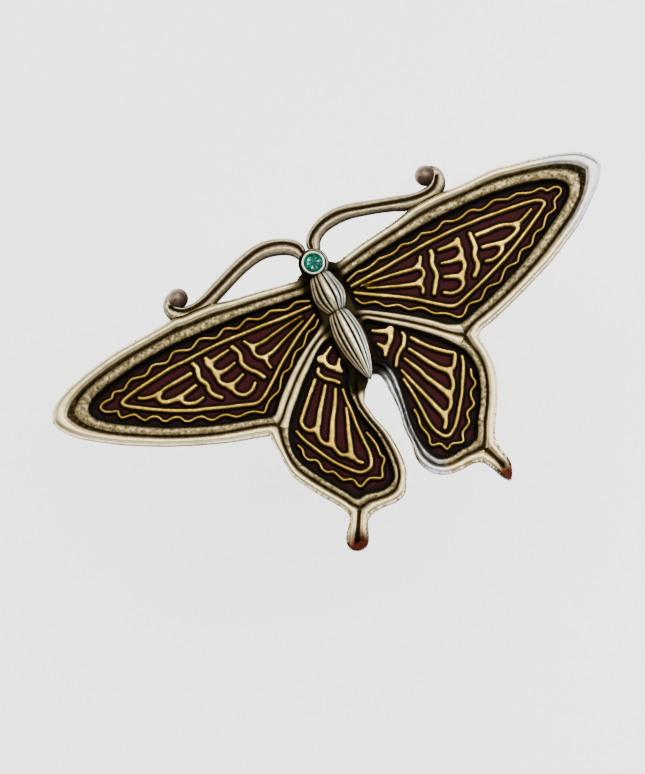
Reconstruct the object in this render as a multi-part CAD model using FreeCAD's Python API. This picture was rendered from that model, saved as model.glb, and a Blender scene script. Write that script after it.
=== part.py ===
import FreeCAD, Part
import math
import os

os.makedirs("parts", exist_ok=True)
V = FreeCAD.Vector

# Butterfly brooch. The face looks along +Z, the head points along +Y.
# Millimetres. The curves below are drawn in a sheet frame whose z = 0 is the
# flat back of the back plate; everything is moved to the bottom centre of the
# whole brooch when it is written out.

# ---- heights above the flat back -------------------------------------------
PLATE_T = 0.60            # backing sheet
RIM_TOP = 2.60            # top of the cast wing frame
ENAMEL_T = 0.50           # enamel fill lying on the backing sheet
WIRE_T = 0.55             # gilt wires standing on the enamel
GROOVE_D = 0.45           # depth of the groove between the two rim beads
GROOVE_W = 0.45
ANTENNA_TOP = 2.50

# ---- body and head ----------------------------------------------------------
HEAD_Y = 8.70             # centre of the stone
HEAD_R = 1.95             # collar round the bezel
HEAD_H = 0.95             # height of the collar above the rim
BEZEL_R = 1.50
BEZEL_H = 1.55
STONE_R = 1.30            # a 2.6 mm chaton
STONE_GIRDLE_T = 0.08
STONE_CROWN_H = 0.42
STONE_PAVILION_H = 1.02
TABLE_R = 0.74
BODY_TILT = math.degrees(math.atan2(0.31, 16.45))
# half width of the thorax and abdomen along the body, from neck to tail
BODY_PROFILE = [(7.30, 1.25), (6.9, 1.50), (6.0, 1.76), (5.0, 2.05), (4.2, 2.13), (3.4, 1.98), (2.7, 1.62), (2.1, 1.22)]
TAIL_PROFILE = [(2.1, 1.22), (1.5, 1.36), (0.6, 1.66), (-0.5, 1.88), (-1.6, 1.94), (-3.0, 1.80), (-4.2, 1.55), (-5.4, 1.20), (-6.4, 0.82), (-7.2, 0.42)]
TAIL_TIP_Y = -7.75

# ---- pin finding on the back ------------------------------------------------
PIN_Y = 3.0               # the pin runs across, above the centre of gravity
PIN_Z = -2.40             # axis of the pin below the flat back
JOINT_X = 17.0
CATCH_X = -17.0
PIN_R = 0.40
PIN_TIP_X = -20.0
PIN_TAPER = 5.2
FOOT_T = 0.50
EYE_R = 1.10
EYE_T = 1.30
RIVET_R = 0.50
RIVET_CLEAR = 0.03
EAR_T = 0.60
EAR_GAP = 1.50
EAR_R = 1.15
CATCH_OR = 1.50
CATCH_IR = 1.00
CATCH_L = 3.40
SLEEVE_OR = 0.95
SLEEVE_IR = 0.62
SLEEVE_L = 3.80
SLOT_W = 1.10
SLEEVE_SLOT_W = 1.02
WINDOW_L = 1.50
TAB_L = 1.00
TAB_T = 0.44
TAB_R = 2.40
TAB_ANGLE = -145.0

# ---- curves (x, y): + x is the right wing, and the left tables give |x| ------
# Each closed outline is a list of smooth runs that meet at corners.
RIGHT_OUTLINE = [[(1.90,8.35),(2.53,7.86),(2.97,7.80),(4.58,8.12),(6.69,8.58),(8.84,8.90),(10.98,9.24),(12.58,9.58),(14.06,9.96),(16.22,10.17),(18.03,10.21),(19.76,10.07),(21.92,10.00),(24.08,10.07),(26.15,10.02),(28.26,9.54),(30.39,9.15),(32.51,8.67),(34.60,8.12),(36.44,7.36),(37.59,6.37),(38.29,5.37),(38.38,4.94),(38.26,4.43),(37.49,3.16),(35.99,1.71),(34.37,0.32),(32.91,-0.79),(31.03,-1.85),(29.12,-2.89),(27.18,-3.85),(25.17,-4.65),(23.15,-5.44),(21.11,-6.18),(19.05,-6.88),(16.98,-7.50),(15.61,-7.86),(15.17,-8.22)],
    [(15.17,-8.22),(15.03,-8.87),(15.23,-10.46),(15.16,-12.61),(14.60,-14.68),(13.73,-16.64),(12.65,-18.50),(11.61,-20.36),(11.25,-21.50),(11.39,-22.69),(11.77,-24.39),(11.67,-25.17),(11.15,-26.33),(10.84,-26.65),(10.48,-26.48),(9.99,-25.82),(9.33,-24.30),(8.76,-23.34),(8.26,-22.96),(7.56,-22.76),(5.67,-22.80),(3.97,-22.59),(2.80,-22.02),(1.93,-21.10),(1.30,-19.66),(1.22,-18.80),(1.48,-17.05),(1.45,-14.97),(1.75,-13.27),(1.88,-11.87),(1.83,-10.19),(1.72,-8.21),(1.57,-7.63),(1.30,-7.29),(0.91,-7.11),(0.15,-7.30)]]
RIGHT_FORE_CELL = [[(2.48,5.63),(4.53,6.06),(6.63,6.39),(8.74,6.70),(10.86,6.92),(12.97,7.16),(15.10,7.31),(17.22,7.39),(19.35,7.41),(21.48,7.39),(23.61,7.29),(25.72,7.06),(27.83,6.74),(29.90,6.24),(31.89,5.54),(32.91,4.87),(33.29,4.38),(33.39,3.92),(33.27,3.44),(32.84,2.80),(31.46,1.73),(29.79,0.71),(27.93,-0.33),(26.07,-1.36),(24.18,-2.33),(22.22,-3.18),(20.24,-3.96),(18.24,-4.68),(16.20,-5.29),(14.19,-5.90),(13.48,-5.97),(12.78,-5.73)],
    [(12.78,-5.73),(11.91,-5.25),(10.37,-3.93),(8.74,-2.71),(7.06,-1.53),(5.35,-0.42),(3.60,0.64),(2.43,1.21)]]
RIGHT_HIND_CELL = [[(2.38,-0.62),(3.04,-0.59),(3.71,-1.04),(5.39,-2.30),(7.07,-3.58),(8.67,-4.95),(10.23,-6.37),(11.59,-7.97),(12.55,-9.45),(12.93,-10.90),(12.83,-12.79),(12.17,-14.75),(11.32,-16.42),(10.16,-18.18),(9.49,-19.55),(9.18,-20.01),(8.58,-20.27)],
    [(8.58,-20.27),(8.03,-20.48),(6.88,-20.51),(5.09,-20.74),(4.27,-20.60),(3.77,-20.32),(3.28,-19.75),(2.68,-18.26),(2.44,-16.28),(2.57,-14.18),(2.90,-12.11),(3.19,-10.04),(3.29,-8.19),(2.86,-6.63),(2.31,-5.54),(2.30,-5.03)]]
LEFT_OUTLINE = [[(1.90,8.35),(2.44,8.12),(2.77,7.85),(3.23,7.85),(5.15,8.18),(7.26,8.55),(9.38,8.89),(11.51,9.21),(12.98,9.56),(13.96,9.79),(16.10,9.94),(17.91,10.00),(19.01,10.22),(20.17,10.09),(22.23,9.86),(24.38,9.73),(26.52,9.59),(28.66,9.33),(30.77,8.92),(32.86,8.42),(34.92,7.80),(36.82,6.99),(37.97,6.06),(38.38,5.36),(38.52,4.70),(38.41,4.08),(37.76,2.95),(36.32,1.48),(34.57,0.23),(32.78,-0.95),(30.92,-2.04),(29.02,-3.03),(27.10,-4.00),(25.13,-4.87),(23.15,-5.69),(21.14,-6.46),(19.10,-7.16),(17.04,-7.75),(15.09,-8.28),(14.38,-8.50)],
    [(14.38,-8.50),(14.31,-9.11),(14.29,-9.92),(14.15,-11.21),(14.08,-13.30),(13.95,-14.20),(13.04,-16.08),(11.89,-17.93),(10.63,-19.70),(9.71,-21.22),(9.54,-21.84),(9.60,-22.29),(9.94,-22.94),(10.91,-24.11),(11.30,-25.02),(11.32,-25.49),(11.17,-25.92),(10.88,-26.27),(10.46,-26.52),(9.92,-26.63),(9.38,-26.55),(8.99,-26.34),(8.44,-25.53),(7.82,-23.93),(7.53,-23.47),(7.10,-23.18),(5.94,-22.89),(3.87,-22.97),(2.75,-22.85),(2.05,-22.52),(1.71,-22.18),(1.34,-21.45),(0.55,-19.87),(0.30,-17.92),(0.40,-15.81),(0.63,-14.40),(1.26,-12.32),(1.60,-10.20),(1.57,-9.61),(1.29,-9.14),(0.83,-8.38),(0.45,-8.01),(0.16,-7.70),(-0.15,-7.30)]]
LEFT_FORE_CELL = [[(2.13,5.66),(4.25,5.93),(6.40,6.18),(8.55,6.48),(10.71,6.71),(12.88,6.85),(15.04,6.95),(17.21,7.02),(19.38,7.11),(21.55,7.08),(23.71,6.93),(25.87,6.73),(28.02,6.38),(30.15,5.98),(32.23,5.36),(33.15,4.81),(33.65,4.23),(33.69,3.76),(33.44,3.11),(32.56,2.12),(30.82,0.87),(28.94,-0.22),(27.06,-1.31),(25.13,-2.30),(23.15,-3.19),(21.14,-3.99),(19.09,-4.70),(17.01,-5.33),(14.92,-5.93),(13.20,-6.44),(12.66,-6.44),(12.22,-6.12)],
    [(12.22,-6.12),(11.25,-5.03),(9.79,-3.65),(8.25,-2.35),(6.63,-1.15),(4.92,-0.10),(3.18,0.90),(2.13,1.63)]]
LEFT_HIND_CELL = [[(1.93,-0.70),(3.00,-0.87),(4.25,-1.57),(5.88,-2.93),(7.50,-4.30),(9.01,-5.81),(10.50,-7.32),(11.70,-8.94),(12.37,-10.76),(12.44,-12.31),(11.85,-14.06),(10.78,-15.89),(9.61,-17.67),(8.42,-19.41),(7.89,-20.31),(7.38,-20.59)],
    [(7.38,-20.59),(6.52,-20.45),(4.90,-20.80),(3.93,-20.87),(2.93,-20.55),(2.51,-20.25),(2.20,-19.72),(1.92,-18.27),(1.85,-16.13),(2.01,-14.16),(2.51,-12.12),(2.87,-10.01),(2.82,-7.87),(2.40,-6.34),(1.82,-5.53)]]
RIGHT_WIRES = {
    'fore_scallop_wire': [([(2.92,5.06),(4.19,5.48),(4.73,5.57),(5.21,5.48),(5.99,5.47),(6.98,5.66),(7.69,5.90),(8.14,5.87),(9.42,5.78),(10.22,5.91),(10.71,6.15),(11.14,6.27),(11.48,6.25),(12.04,6.07),(12.72,6.05),(13.30,6.17),(13.68,6.39),(13.93,6.49),(14.18,6.49),(14.75,6.30),(15.39,6.13),(15.97,6.14),(16.49,6.34),(16.96,6.61),(17.19,6.65),(17.51,6.59),(18.20,6.29),(18.68,6.18),(19.46,6.21),(20.46,6.50),(20.96,6.52),(21.35,6.41),(21.79,6.14),(22.16,6.01),(22.59,6.01),(23.49,6.24),(23.89,6.37),(24.51,6.31),(25.31,5.99),(25.91,5.79),(26.36,5.84),(27.16,5.90),(27.52,5.80),(28.39,5.43),(29.08,5.25),(29.78,5.28),(30.11,5.26),(30.34,5.17),(30.52,5.01),(30.64,4.82),(30.74,4.69),(30.88,4.62),(31.09,4.60),(31.55,4.64),(31.93,4.60),(32.15,4.50),(32.31,4.36),(32.40,4.21),(32.44,4.06),(32.43,3.91),(32.35,3.75),(32.20,3.58),(31.97,3.43),(31.54,3.30),(31.22,3.15),(31.07,3.01),(30.96,2.75),(30.82,2.28),(30.71,2.11),(30.55,2.01),(30.20,1.92),(29.60,1.83),(29.28,1.66),(28.89,1.25),(28.44,0.66),(28.26,0.53),(28.01,0.47),(27.41,0.42),(27.07,0.30),(26.64,-0.06),(26.30,-0.53),(26.03,-0.77),(25.82,-0.88),(25.56,-0.89),(24.91,-0.85),(24.56,-0.92),(24.28,-1.09),(23.87,-1.57),(23.63,-1.90),(23.44,-2.02),(23.17,-2.08),(22.63,-2.04),(22.07,-2.07),(21.64,-2.22),(21.31,-2.49),(20.67,-3.16),(20.34,-3.37),(20.10,-3.41),(19.55,-3.33),(18.75,-3.31),(18.37,-3.43),(18.02,-3.69),(17.46,-4.22),(17.19,-4.36),(16.89,-4.39),(16.23,-4.27),(15.77,-4.25),(15.42,-4.33),(15.18,-4.49),(14.89,-4.82),(14.46,-5.16),(14.22,-5.25),(13.99,-5.27),(13.75,-5.20),(13.48,-5.03),(12.89,-4.38),(12.29,-3.94),(11.32,-3.50),(10.94,-3.18),(10.30,-2.34),(9.93,-2.03),(9.31,-1.81),(8.69,-1.68),(8.41,-1.52),(8.09,-1.16),(7.63,-0.59),(7.33,-0.40),(6.43,-0.14),(5.98,0.04),(5.73,0.30),(5.33,0.86),(4.94,1.17),(4.57,1.30),(3.87,1.46),(3.51,1.63),(3.26,1.90),(2.95,2.55)], 0.26)],
    'fore_border_wire': [([(3.13,4.25),(4.69,4.37),(6.28,4.48),(7.87,4.55),(9.46,4.71),(11.05,4.84),(12.64,4.99),(14.23,5.11),(15.82,5.14),(17.39,5.18),(18.94,5.14),(20.53,5.05),(21.85,5.00),(23.41,4.83),(24.88,4.70),(26.33,4.54),(27.73,4.37),(29.03,4.10),(29.53,3.84),(29.74,3.66),(29.83,3.48),(29.80,3.28),(29.65,3.12),(28.85,2.59),(27.48,1.79),(26.08,1.02),(24.67,0.28),(23.23,-0.42),(21.78,-1.07),(20.29,-1.65),(18.80,-2.21),(17.29,-2.73),(16.02,-3.14),(14.63,-3.58),(14.01,-3.62),(13.47,-3.46),(12.43,-2.78),(11.17,-1.81),(9.91,-0.83),(8.59,0.07),(7.24,0.91),(5.85,1.70),(4.48,2.51),(3.15,3.33)], 0.38)],
    'fore_vein_fan': [([(4.24,3.75),(5.67,3.66),(7.13,3.50),(8.58,3.31),(10.03,3.08),(11.15,2.89),(11.85,2.97)], 0.36),
        ([(4.87,3.16),(6.27,2.58),(7.70,2.04),(9.15,1.50),(10.54,1.06),(11.26,1.02)], 0.36),
        ([(12.63,3.87),(12.27,3.26),(12.05,3.05),(11.94,2.89),(11.98,2.70),(12.10,2.52),(12.19,2.25),(12.21,1.99),(12.15,1.77),(12.03,1.57),(11.81,1.37),(11.41,1.17),(11.20,1.07),(11.08,0.92),(11.08,0.73),(11.17,0.51),(11.23,0.24),(11.21,0.02),(10.99,-0.40)], 0.36)],
    'fore_inner_band': [([(14.17,3.96),(14.11,3.41),(13.93,3.09),(13.70,2.66),(13.60,2.12),(13.62,1.31),(13.50,0.80),(13.05,0.12),(12.23,-1.11)], 0.46)],
    'fore_middle_claw': [([(17.87,3.88),(17.67,3.25),(17.71,2.81),(17.71,2.40),(17.64,2.19),(17.49,2.01),(17.33,1.85),(17.26,1.65),(17.30,1.43),(17.39,1.09),(17.37,0.77),(17.21,0.39),(16.92,0.00),(16.46,-0.33),(16.24,-0.48),(16.13,-0.66),(16.12,-0.87),(16.20,-1.07),(16.22,-1.29),(16.15,-1.49),(16.01,-1.70),(15.76,-1.90),(15.30,-2.10),(14.85,-2.13),(14.27,-2.03),(13.43,-1.54)], 0.36),
        ([(15.14,3.68),(16.45,3.56),(17.62,3.58)], 0.36),
        ([(14.74,1.98),(15.98,1.68),(16.56,1.62),(17.26,1.73)], 0.36),
        ([(14.34,0.25),(15.39,-0.16),(16.36,-0.58)], 0.36)],
    'fore_outer_band': [([(19.61,3.87),(19.55,2.50),(19.48,1.99),(19.33,1.71),(19.06,1.36),(18.93,1.00),(18.87,0.45),(18.89,0.07),(18.80,-0.20),(18.49,-0.66),(17.84,-1.25)], 0.46)],
    'fore_tip_claw': [([(20.33,3.35),(21.64,3.24),(23.00,3.21),(24.13,2.98),(24.98,2.64),(25.43,2.52),(25.93,2.52),(26.70,2.77),(27.93,3.31)], 0.34),
        ([(20.34,1.60),(21.74,1.32),(22.93,1.04),(23.42,1.05),(24.43,1.31),(25.06,1.60),(25.29,1.77),(25.41,1.93),(25.42,2.12),(25.33,2.35)], 0.34),
        ([(19.95,-0.20),(20.78,-0.38),(21.19,-0.34),(21.81,-0.13),(22.27,0.16),(22.44,0.34),(22.53,0.53),(22.57,0.93)], 0.34)],
    'hind_base_claw': [([(3.11,-2.05),(4.07,-2.55),(4.56,-2.75),(5.27,-2.83)], 0.36),
        ([(5.28,-2.80),(4.93,-3.60),(4.74,-3.96),(4.26,-4.43),(3.69,-4.90),(3.24,-5.55)], 0.36),
        ([(3.02,-3.84),(3.32,-4.31),(3.64,-4.76)], 0.36)],
    'hind_band': [([(6.44,-3.91),(6.50,-4.25),(6.45,-4.48),(6.09,-5.10),(5.76,-5.50),(5.29,-5.78),(4.58,-6.37),(3.92,-7.36)], 0.38)],
    'hind_vein_claw': [([(7.19,-4.96),(8.11,-6.17),(9.15,-7.32),(10.32,-8.33),(11.11,-8.89),(11.27,-9.04),(11.31,-9.23),(11.22,-9.45),(10.70,-10.31),(10.46,-10.58),(10.27,-10.68),(10.06,-10.70),(9.86,-10.75),(9.73,-10.89),(9.69,-11.11),(9.62,-12.02),(9.42,-12.70),(9.16,-13.09),(8.96,-13.28),(8.75,-13.36),(8.55,-13.42),(8.42,-13.57),(8.38,-13.77),(8.38,-14.08),(8.25,-14.49),(7.92,-14.99),(7.59,-15.28),(7.19,-15.46),(6.95,-15.54),(6.80,-15.67),(6.74,-15.87),(6.71,-16.18),(6.58,-16.54),(6.14,-17.13)], 0.36),
        ([(6.35,-6.14),(7.12,-7.39),(7.88,-8.68),(8.72,-9.89),(9.75,-10.82)], 0.36),
        ([(5.31,-7.01),(5.91,-8.18),(6.46,-9.30),(6.72,-10.13),(7.25,-11.15),(7.83,-12.29),(8.42,-13.47)], 0.36),
        ([(4.33,-8.23),(4.79,-9.70),(5.29,-11.21),(5.79,-12.71),(6.27,-14.23),(6.78,-15.67)], 0.36)],
    'hind_border_wire': [([(4.06,-9.35),(4.29,-10.84),(4.44,-12.37),(4.53,-13.84),(4.58,-15.36),(4.84,-16.72),(5.34,-17.67),(5.67,-18.05),(5.88,-18.17),(6.10,-18.22),(6.31,-18.21),(6.57,-18.09),(7.27,-17.62),(8.11,-16.67),(9.01,-15.42),(9.92,-14.17),(10.42,-13.24),(11.11,-12.03),(11.76,-10.74),(11.99,-9.88)], 0.36)],
    'hind_scallop_wire': [([(3.63,-13.44),(3.68,-14.26),(3.50,-15.45),(3.53,-15.89),(3.74,-16.59),(3.83,-17.09),(3.76,-17.60),(3.64,-17.89),(3.59,-18.06),(3.62,-18.20),(3.70,-18.34),(3.83,-18.45),(4.02,-18.53),(4.48,-18.62),(4.72,-18.71),(4.85,-18.83),(4.95,-19.07),(5.10,-19.48),(5.18,-19.62),(5.30,-19.70),(5.44,-19.69),(5.58,-19.61),(5.74,-19.48),(5.94,-19.40),(6.18,-19.39),(6.73,-19.54),(7.14,-19.71),(7.30,-19.72),(7.45,-19.67),(7.57,-19.58),(7.62,-19.43),(7.70,-19.10),(7.87,-18.73),(8.07,-18.52),(8.74,-18.17),(9.05,-17.98),(9.21,-17.79),(9.30,-17.55),(9.32,-17.19),(9.40,-16.86),(9.54,-16.63),(9.71,-16.48),(10.02,-16.37),(10.53,-16.19),(10.69,-16.08),(10.78,-15.95),(10.82,-15.74),(10.82,-15.15),(10.91,-14.72),(11.07,-14.42),(11.27,-14.23),(11.72,-14.01),(11.93,-13.89),(12.04,-13.75),(12.10,-13.54),(12.11,-13.28),(12.03,-12.95),(12.05,-12.55),(12.29,-11.82)], 0.26)],
}
LEFT_WIRES = {
    'fore_scallop_wire': [([(2.48,4.83),(3.73,5.32),(4.17,5.40),(4.61,5.30),(5.25,5.10),(5.66,5.13),(6.74,5.53),(7.41,5.77),(7.77,5.77),(8.39,5.56),(8.85,5.48),(9.40,5.53),(9.90,5.78),(10.43,6.07),(10.71,6.11),(11.04,6.04),(11.92,5.68),(12.22,5.63),(12.49,5.69),(13.21,6.07),(13.62,6.23),(13.87,6.24),(14.17,6.13),(14.86,5.76),(15.15,5.69),(15.45,5.73),(16.24,6.10),(16.93,6.38),(17.23,6.40),(17.59,6.28),(18.36,5.86),(18.72,5.76),(19.11,5.80),(20.04,6.16),(20.69,6.32),(20.97,6.30),(21.25,6.17),(21.82,5.70),(22.07,5.56),(22.32,5.53),(22.72,5.61),(23.70,5.91),(24.02,5.92),(24.30,5.82),(24.88,5.41),(25.21,5.22),(25.52,5.19),(26.27,5.34),(27.02,5.49),(27.37,5.43),(28.01,5.10),(28.41,4.80),(28.64,4.72),(28.94,4.73),(29.54,4.89),(29.81,4.92),(29.99,4.88),(30.15,4.77),(30.30,4.58),(30.41,4.42),(30.54,4.35),(30.74,4.33),(31.32,4.34),(31.85,4.23),(32.08,4.11),(32.20,3.99),(32.27,3.85),(32.27,3.70),(32.20,3.53),(32.05,3.30),(31.79,3.09),(31.07,2.76),(30.72,2.66),(30.56,2.61),(30.47,2.51),(30.48,2.36),(30.51,2.17),(30.51,1.94),(30.45,1.75),(30.36,1.62),(30.23,1.53),(29.98,1.48),(29.03,1.35),(28.71,1.22),(28.54,1.07),(28.37,0.75),(28.07,0.27),(27.87,0.06),(27.71,-0.01),(27.52,-0.01),(27.13,0.05),(26.75,0.01),(26.38,-0.15),(26.14,-0.33),(25.99,-0.59),(25.87,-0.89),(25.72,-1.08),(25.49,-1.22),(25.26,-1.29),(24.89,-1.25),(24.40,-1.24),(23.95,-1.38),(23.68,-1.54),(23.51,-1.78),(23.34,-2.13),(23.16,-2.33),(22.90,-2.46),(22.51,-2.55),(21.93,-2.50),(21.45,-2.55),(21.03,-2.69),(20.83,-2.86),(20.58,-3.23),(20.25,-3.53),(19.96,-3.67),(19.68,-3.71),(19.10,-3.62),(18.57,-3.65),(18.05,-3.84),(17.66,-4.17),(17.25,-4.51),(16.82,-4.68),(16.08,-4.71),(15.16,-4.79),(14.70,-4.98),(14.05,-5.45),(13.85,-5.56),(13.70,-5.58),(13.56,-5.51),(13.34,-5.30),(12.59,-4.60),(11.95,-4.29),(11.06,-4.00),(10.67,-3.75),(10.40,-3.37),(9.88,-2.58),(9.44,-2.16),(9.18,-2.03),(8.80,-2.00),(8.45,-1.91),(8.06,-1.66),(7.70,-1.22),(7.25,-0.72),(6.78,-0.33),(6.49,-0.24),(5.98,-0.17),(5.60,-0.02),(5.33,0.23),(4.77,0.89),(4.35,1.24),(4.00,1.34),(3.43,1.44),(2.97,1.68),(2.50,2.18)], 0.26)],
    'fore_border_wire': [([(2.63,4.17),(4.16,4.23),(5.73,4.28),(7.29,4.39),(8.85,4.52),(10.41,4.61),(11.98,4.68),(13.54,4.79),(15.11,4.84),(16.67,4.82),(18.24,4.76),(19.71,4.68),(20.98,4.68),(22.19,4.65),(23.74,4.45),(25.29,4.25),(26.84,4.03),(28.32,3.74),(29.13,3.51),(29.38,3.38),(29.51,3.23),(29.50,3.03),(29.36,2.87),(28.76,2.38),(27.78,1.76),(26.70,1.08),(25.34,0.30),(23.96,-0.45),(22.54,-1.11),(21.39,-1.61),(20.44,-1.90),(18.97,-2.44),(17.67,-2.92),(16.28,-3.37),(14.80,-3.90),(14.13,-4.08),(13.62,-4.04),(12.82,-3.71),(11.61,-2.84),(10.56,-2.05),(9.36,-1.05),(8.07,-0.16),(6.76,0.70),(5.43,1.53),(4.03,2.23),(2.68,2.95)], 0.38)],
    'fore_vein_fan': [([(4.14,3.55),(5.63,3.40),(7.08,3.18),(8.53,2.93),(9.92,2.67),(11.37,2.68)], 0.36),
        ([(4.27,2.88),(5.57,2.44),(6.83,2.00),(8.14,1.49),(9.39,0.99),(10.59,0.78)], 0.36),
        ([(12.15,3.68),(11.70,2.83),(11.62,2.44),(11.66,1.97),(11.65,1.68),(11.54,1.43),(11.30,1.12),(11.02,0.91),(10.80,0.77),(10.68,0.61),(10.64,0.41),(10.66,0.08),(10.53,-0.74)], 0.36)],
    'fore_inner_band': [([(13.84,3.71),(13.40,2.82),(13.34,2.49),(13.41,2.13),(13.60,1.61),(13.62,1.33),(13.48,0.89),(13.07,0.19),(12.34,-0.58),(11.82,-1.47)], 0.46)],
    'fore_middle_claw': [([(17.51,3.80),(17.32,2.41),(17.13,1.63),(17.19,0.80),(17.15,0.40),(17.02,0.11),(16.60,-0.34),(16.23,-0.72),(16.09,-1.07),(15.96,-1.59),(15.75,-1.92),(15.36,-2.30),(15.04,-2.46),(14.72,-2.51),(14.16,-2.42),(13.81,-2.28),(13.17,-1.68)], 0.36),
        ([(14.54,3.56),(16.02,3.33),(17.50,3.04)], 0.36),
        ([(14.46,1.75),(15.58,1.45),(16.20,1.39),(17.06,1.52)], 0.36),
        ([(14.16,-0.05),(15.27,-0.47),(16.20,-0.66)], 0.36)],
    'fore_outer_band': [([(19.28,3.91),(19.04,3.35),(19.02,3.08),(19.18,2.56),(19.30,2.08),(19.26,1.78),(19.06,1.34),(18.80,0.93),(18.74,0.70),(18.77,0.37),(18.83,-0.02),(18.76,-0.33),(18.47,-0.87),(17.79,-1.54)], 0.46)],
    'fore_tip_claw': [([(20.13,2.92),(21.48,2.80),(22.81,2.70),(23.89,2.59),(24.76,2.36),(25.60,2.37),(26.73,2.59),(27.35,2.92)], 0.34),
        ([(20.17,1.25),(21.66,0.94),(22.94,0.77),(24.13,0.90),(24.65,1.09),(24.86,1.27),(24.99,1.47),(25.06,1.67),(25.03,1.87),(24.84,2.22)], 0.34),
        ([(19.95,-0.54),(20.82,-0.71),(21.35,-0.63),(22.05,-0.34),(22.33,-0.12),(22.47,0.08),(22.60,0.63)], 0.34)],
    'hind_base_claw': [([(2.55,-1.69),(3.44,-2.19),(3.97,-2.42),(4.47,-2.47)], 0.36),
        ([(4.39,-2.44),(4.10,-2.81),(4.00,-3.13),(3.93,-3.51),(3.72,-3.82),(3.07,-4.43),(2.79,-4.66),(2.59,-5.06)], 0.36),
        ([(2.17,-3.53),(2.54,-4.05),(2.89,-4.58)], 0.36)],
    'hind_band': [([(5.16,-3.50),(5.34,-3.77),(5.39,-3.96),(5.35,-4.16),(5.19,-4.53),(4.83,-5.01),(3.93,-5.73),(3.50,-6.22)], 0.38)],
    'hind_vein_claw': [([(6.16,-4.59),(7.22,-5.66),(8.30,-6.77),(9.32,-7.86),(9.79,-8.35),(9.95,-8.58),(10.02,-8.83),(10.00,-9.23),(9.88,-9.63),(9.70,-9.91),(9.48,-10.09),(9.25,-10.18),(9.00,-10.22),(8.81,-10.30),(8.69,-10.46),(8.67,-10.68),(8.76,-11.46),(8.73,-11.87),(8.57,-12.25),(8.31,-12.59),(8.10,-12.74),(7.89,-12.82),(7.72,-12.93),(7.63,-13.12),(7.44,-13.91),(7.26,-14.43),(7.08,-14.65),(6.69,-14.88),(6.15,-15.19),(5.95,-15.41),(5.80,-15.79),(5.64,-16.19),(5.19,-16.64)], 0.36),
        ([(5.26,-5.80),(6.00,-6.83),(6.78,-7.84),(7.55,-8.91),(8.14,-9.88),(8.68,-10.43)], 0.36),
        ([(4.27,-6.75),(4.89,-7.99),(5.62,-9.20),(6.36,-10.33),(7.01,-11.59),(7.65,-12.81)], 0.36),
        ([(4.06,-9.53),(4.54,-11.01),(5.09,-12.43),(5.54,-13.85),(6.08,-15.30)], 0.36)],
    'hind_border_wire': [([(3.44,-7.23),(3.60,-8.74),(3.62,-10.29),(3.71,-11.26),(3.79,-12.75),(3.81,-14.28),(3.79,-15.74),(3.98,-16.78),(4.23,-17.34),(4.42,-17.56),(4.65,-17.69),(5.11,-17.79),(5.57,-17.77),(5.96,-17.64),(6.55,-17.16),(7.51,-16.13),(8.45,-14.92),(9.23,-13.58),(9.95,-12.21),(10.63,-10.82),(11.03,-9.52)], 0.36)],
    'hind_scallop_wire': [([(3.06,-13.45),(2.71,-14.72),(2.60,-15.47),(2.66,-16.50),(2.65,-16.77),(2.54,-16.99),(2.44,-17.18),(2.42,-17.35),(2.47,-17.51),(2.63,-17.75),(3.04,-18.15),(3.27,-18.49),(3.52,-19.15),(3.61,-19.33),(3.72,-19.43),(3.87,-19.43),(4.04,-19.37),(4.71,-19.02),(5.12,-18.87),(5.40,-18.88),(5.94,-19.07),(6.33,-19.27),(6.50,-19.31),(6.65,-19.28),(6.77,-19.19),(6.87,-19.06),(6.94,-18.86),(6.97,-18.54),(7.06,-18.27),(7.20,-18.08),(7.43,-17.92),(7.92,-17.76),(8.21,-17.63),(8.38,-17.46),(8.53,-17.12),(8.85,-16.36),(9.01,-16.14),(9.19,-16.03),(9.45,-15.96),(9.67,-15.86),(9.87,-15.66),(10.04,-15.38),(10.11,-15.03),(10.10,-14.51),(10.18,-14.17),(10.31,-13.94),(10.49,-13.77),(10.84,-13.63),(11.12,-13.46),(11.30,-13.25),(11.42,-12.96),(11.46,-12.61),(11.36,-12.10),(11.36,-11.78),(11.59,-11.23)], 0.26)],
}

# right and left antenna: centre line, half width, ball
ANTENNA_HALF_W = 0.92
RIGHT_ANTENNA = [(0.62,10.75),(0.86,11.55),(1.42,12.38),(2.25,12.92),(3.4,13.20),(4.8,13.28),(6.4,13.16),(8.0,12.78),(10.0,12.16),(12.0,11.54),(14.0,10.98),(15.6,10.72),(17.1,10.74),(18.2,11.10),(18.86,11.90),(18.95,12.80)]
RIGHT_BALL = (17.62, 12.98, 1.32)
RIGHT_WEB = [(12.6, 11.0), (18.9, 11.0), (18.95, 10.3), (19.35, 9.75), (19.0, 9.2), (12.7, 9.0), (12.95, 9.9)]
LEFT_ANTENNA = [(0.62,10.75),(0.86,11.55),(1.42,12.38),(2.25,12.92),(3.4,13.25),(4.8,13.45),(6.4,13.25),(8.0,12.85),(10.0,12.15),(12.0,11.35),(14.0,10.65),(15.6,10.25),(17.1,10.20),(18.3,10.60),(18.9,11.35),(18.85,12.15)]
LEFT_BALL = (17.50, 12.25, 1.30)
LEFT_WEB = [(12.2, 10.6), (19.2, 10.6), (19.6, 10.2), (19.95, 9.75), (19.6, 9.2), (12.6, 9.0), (12.75, 9.7)]

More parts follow.
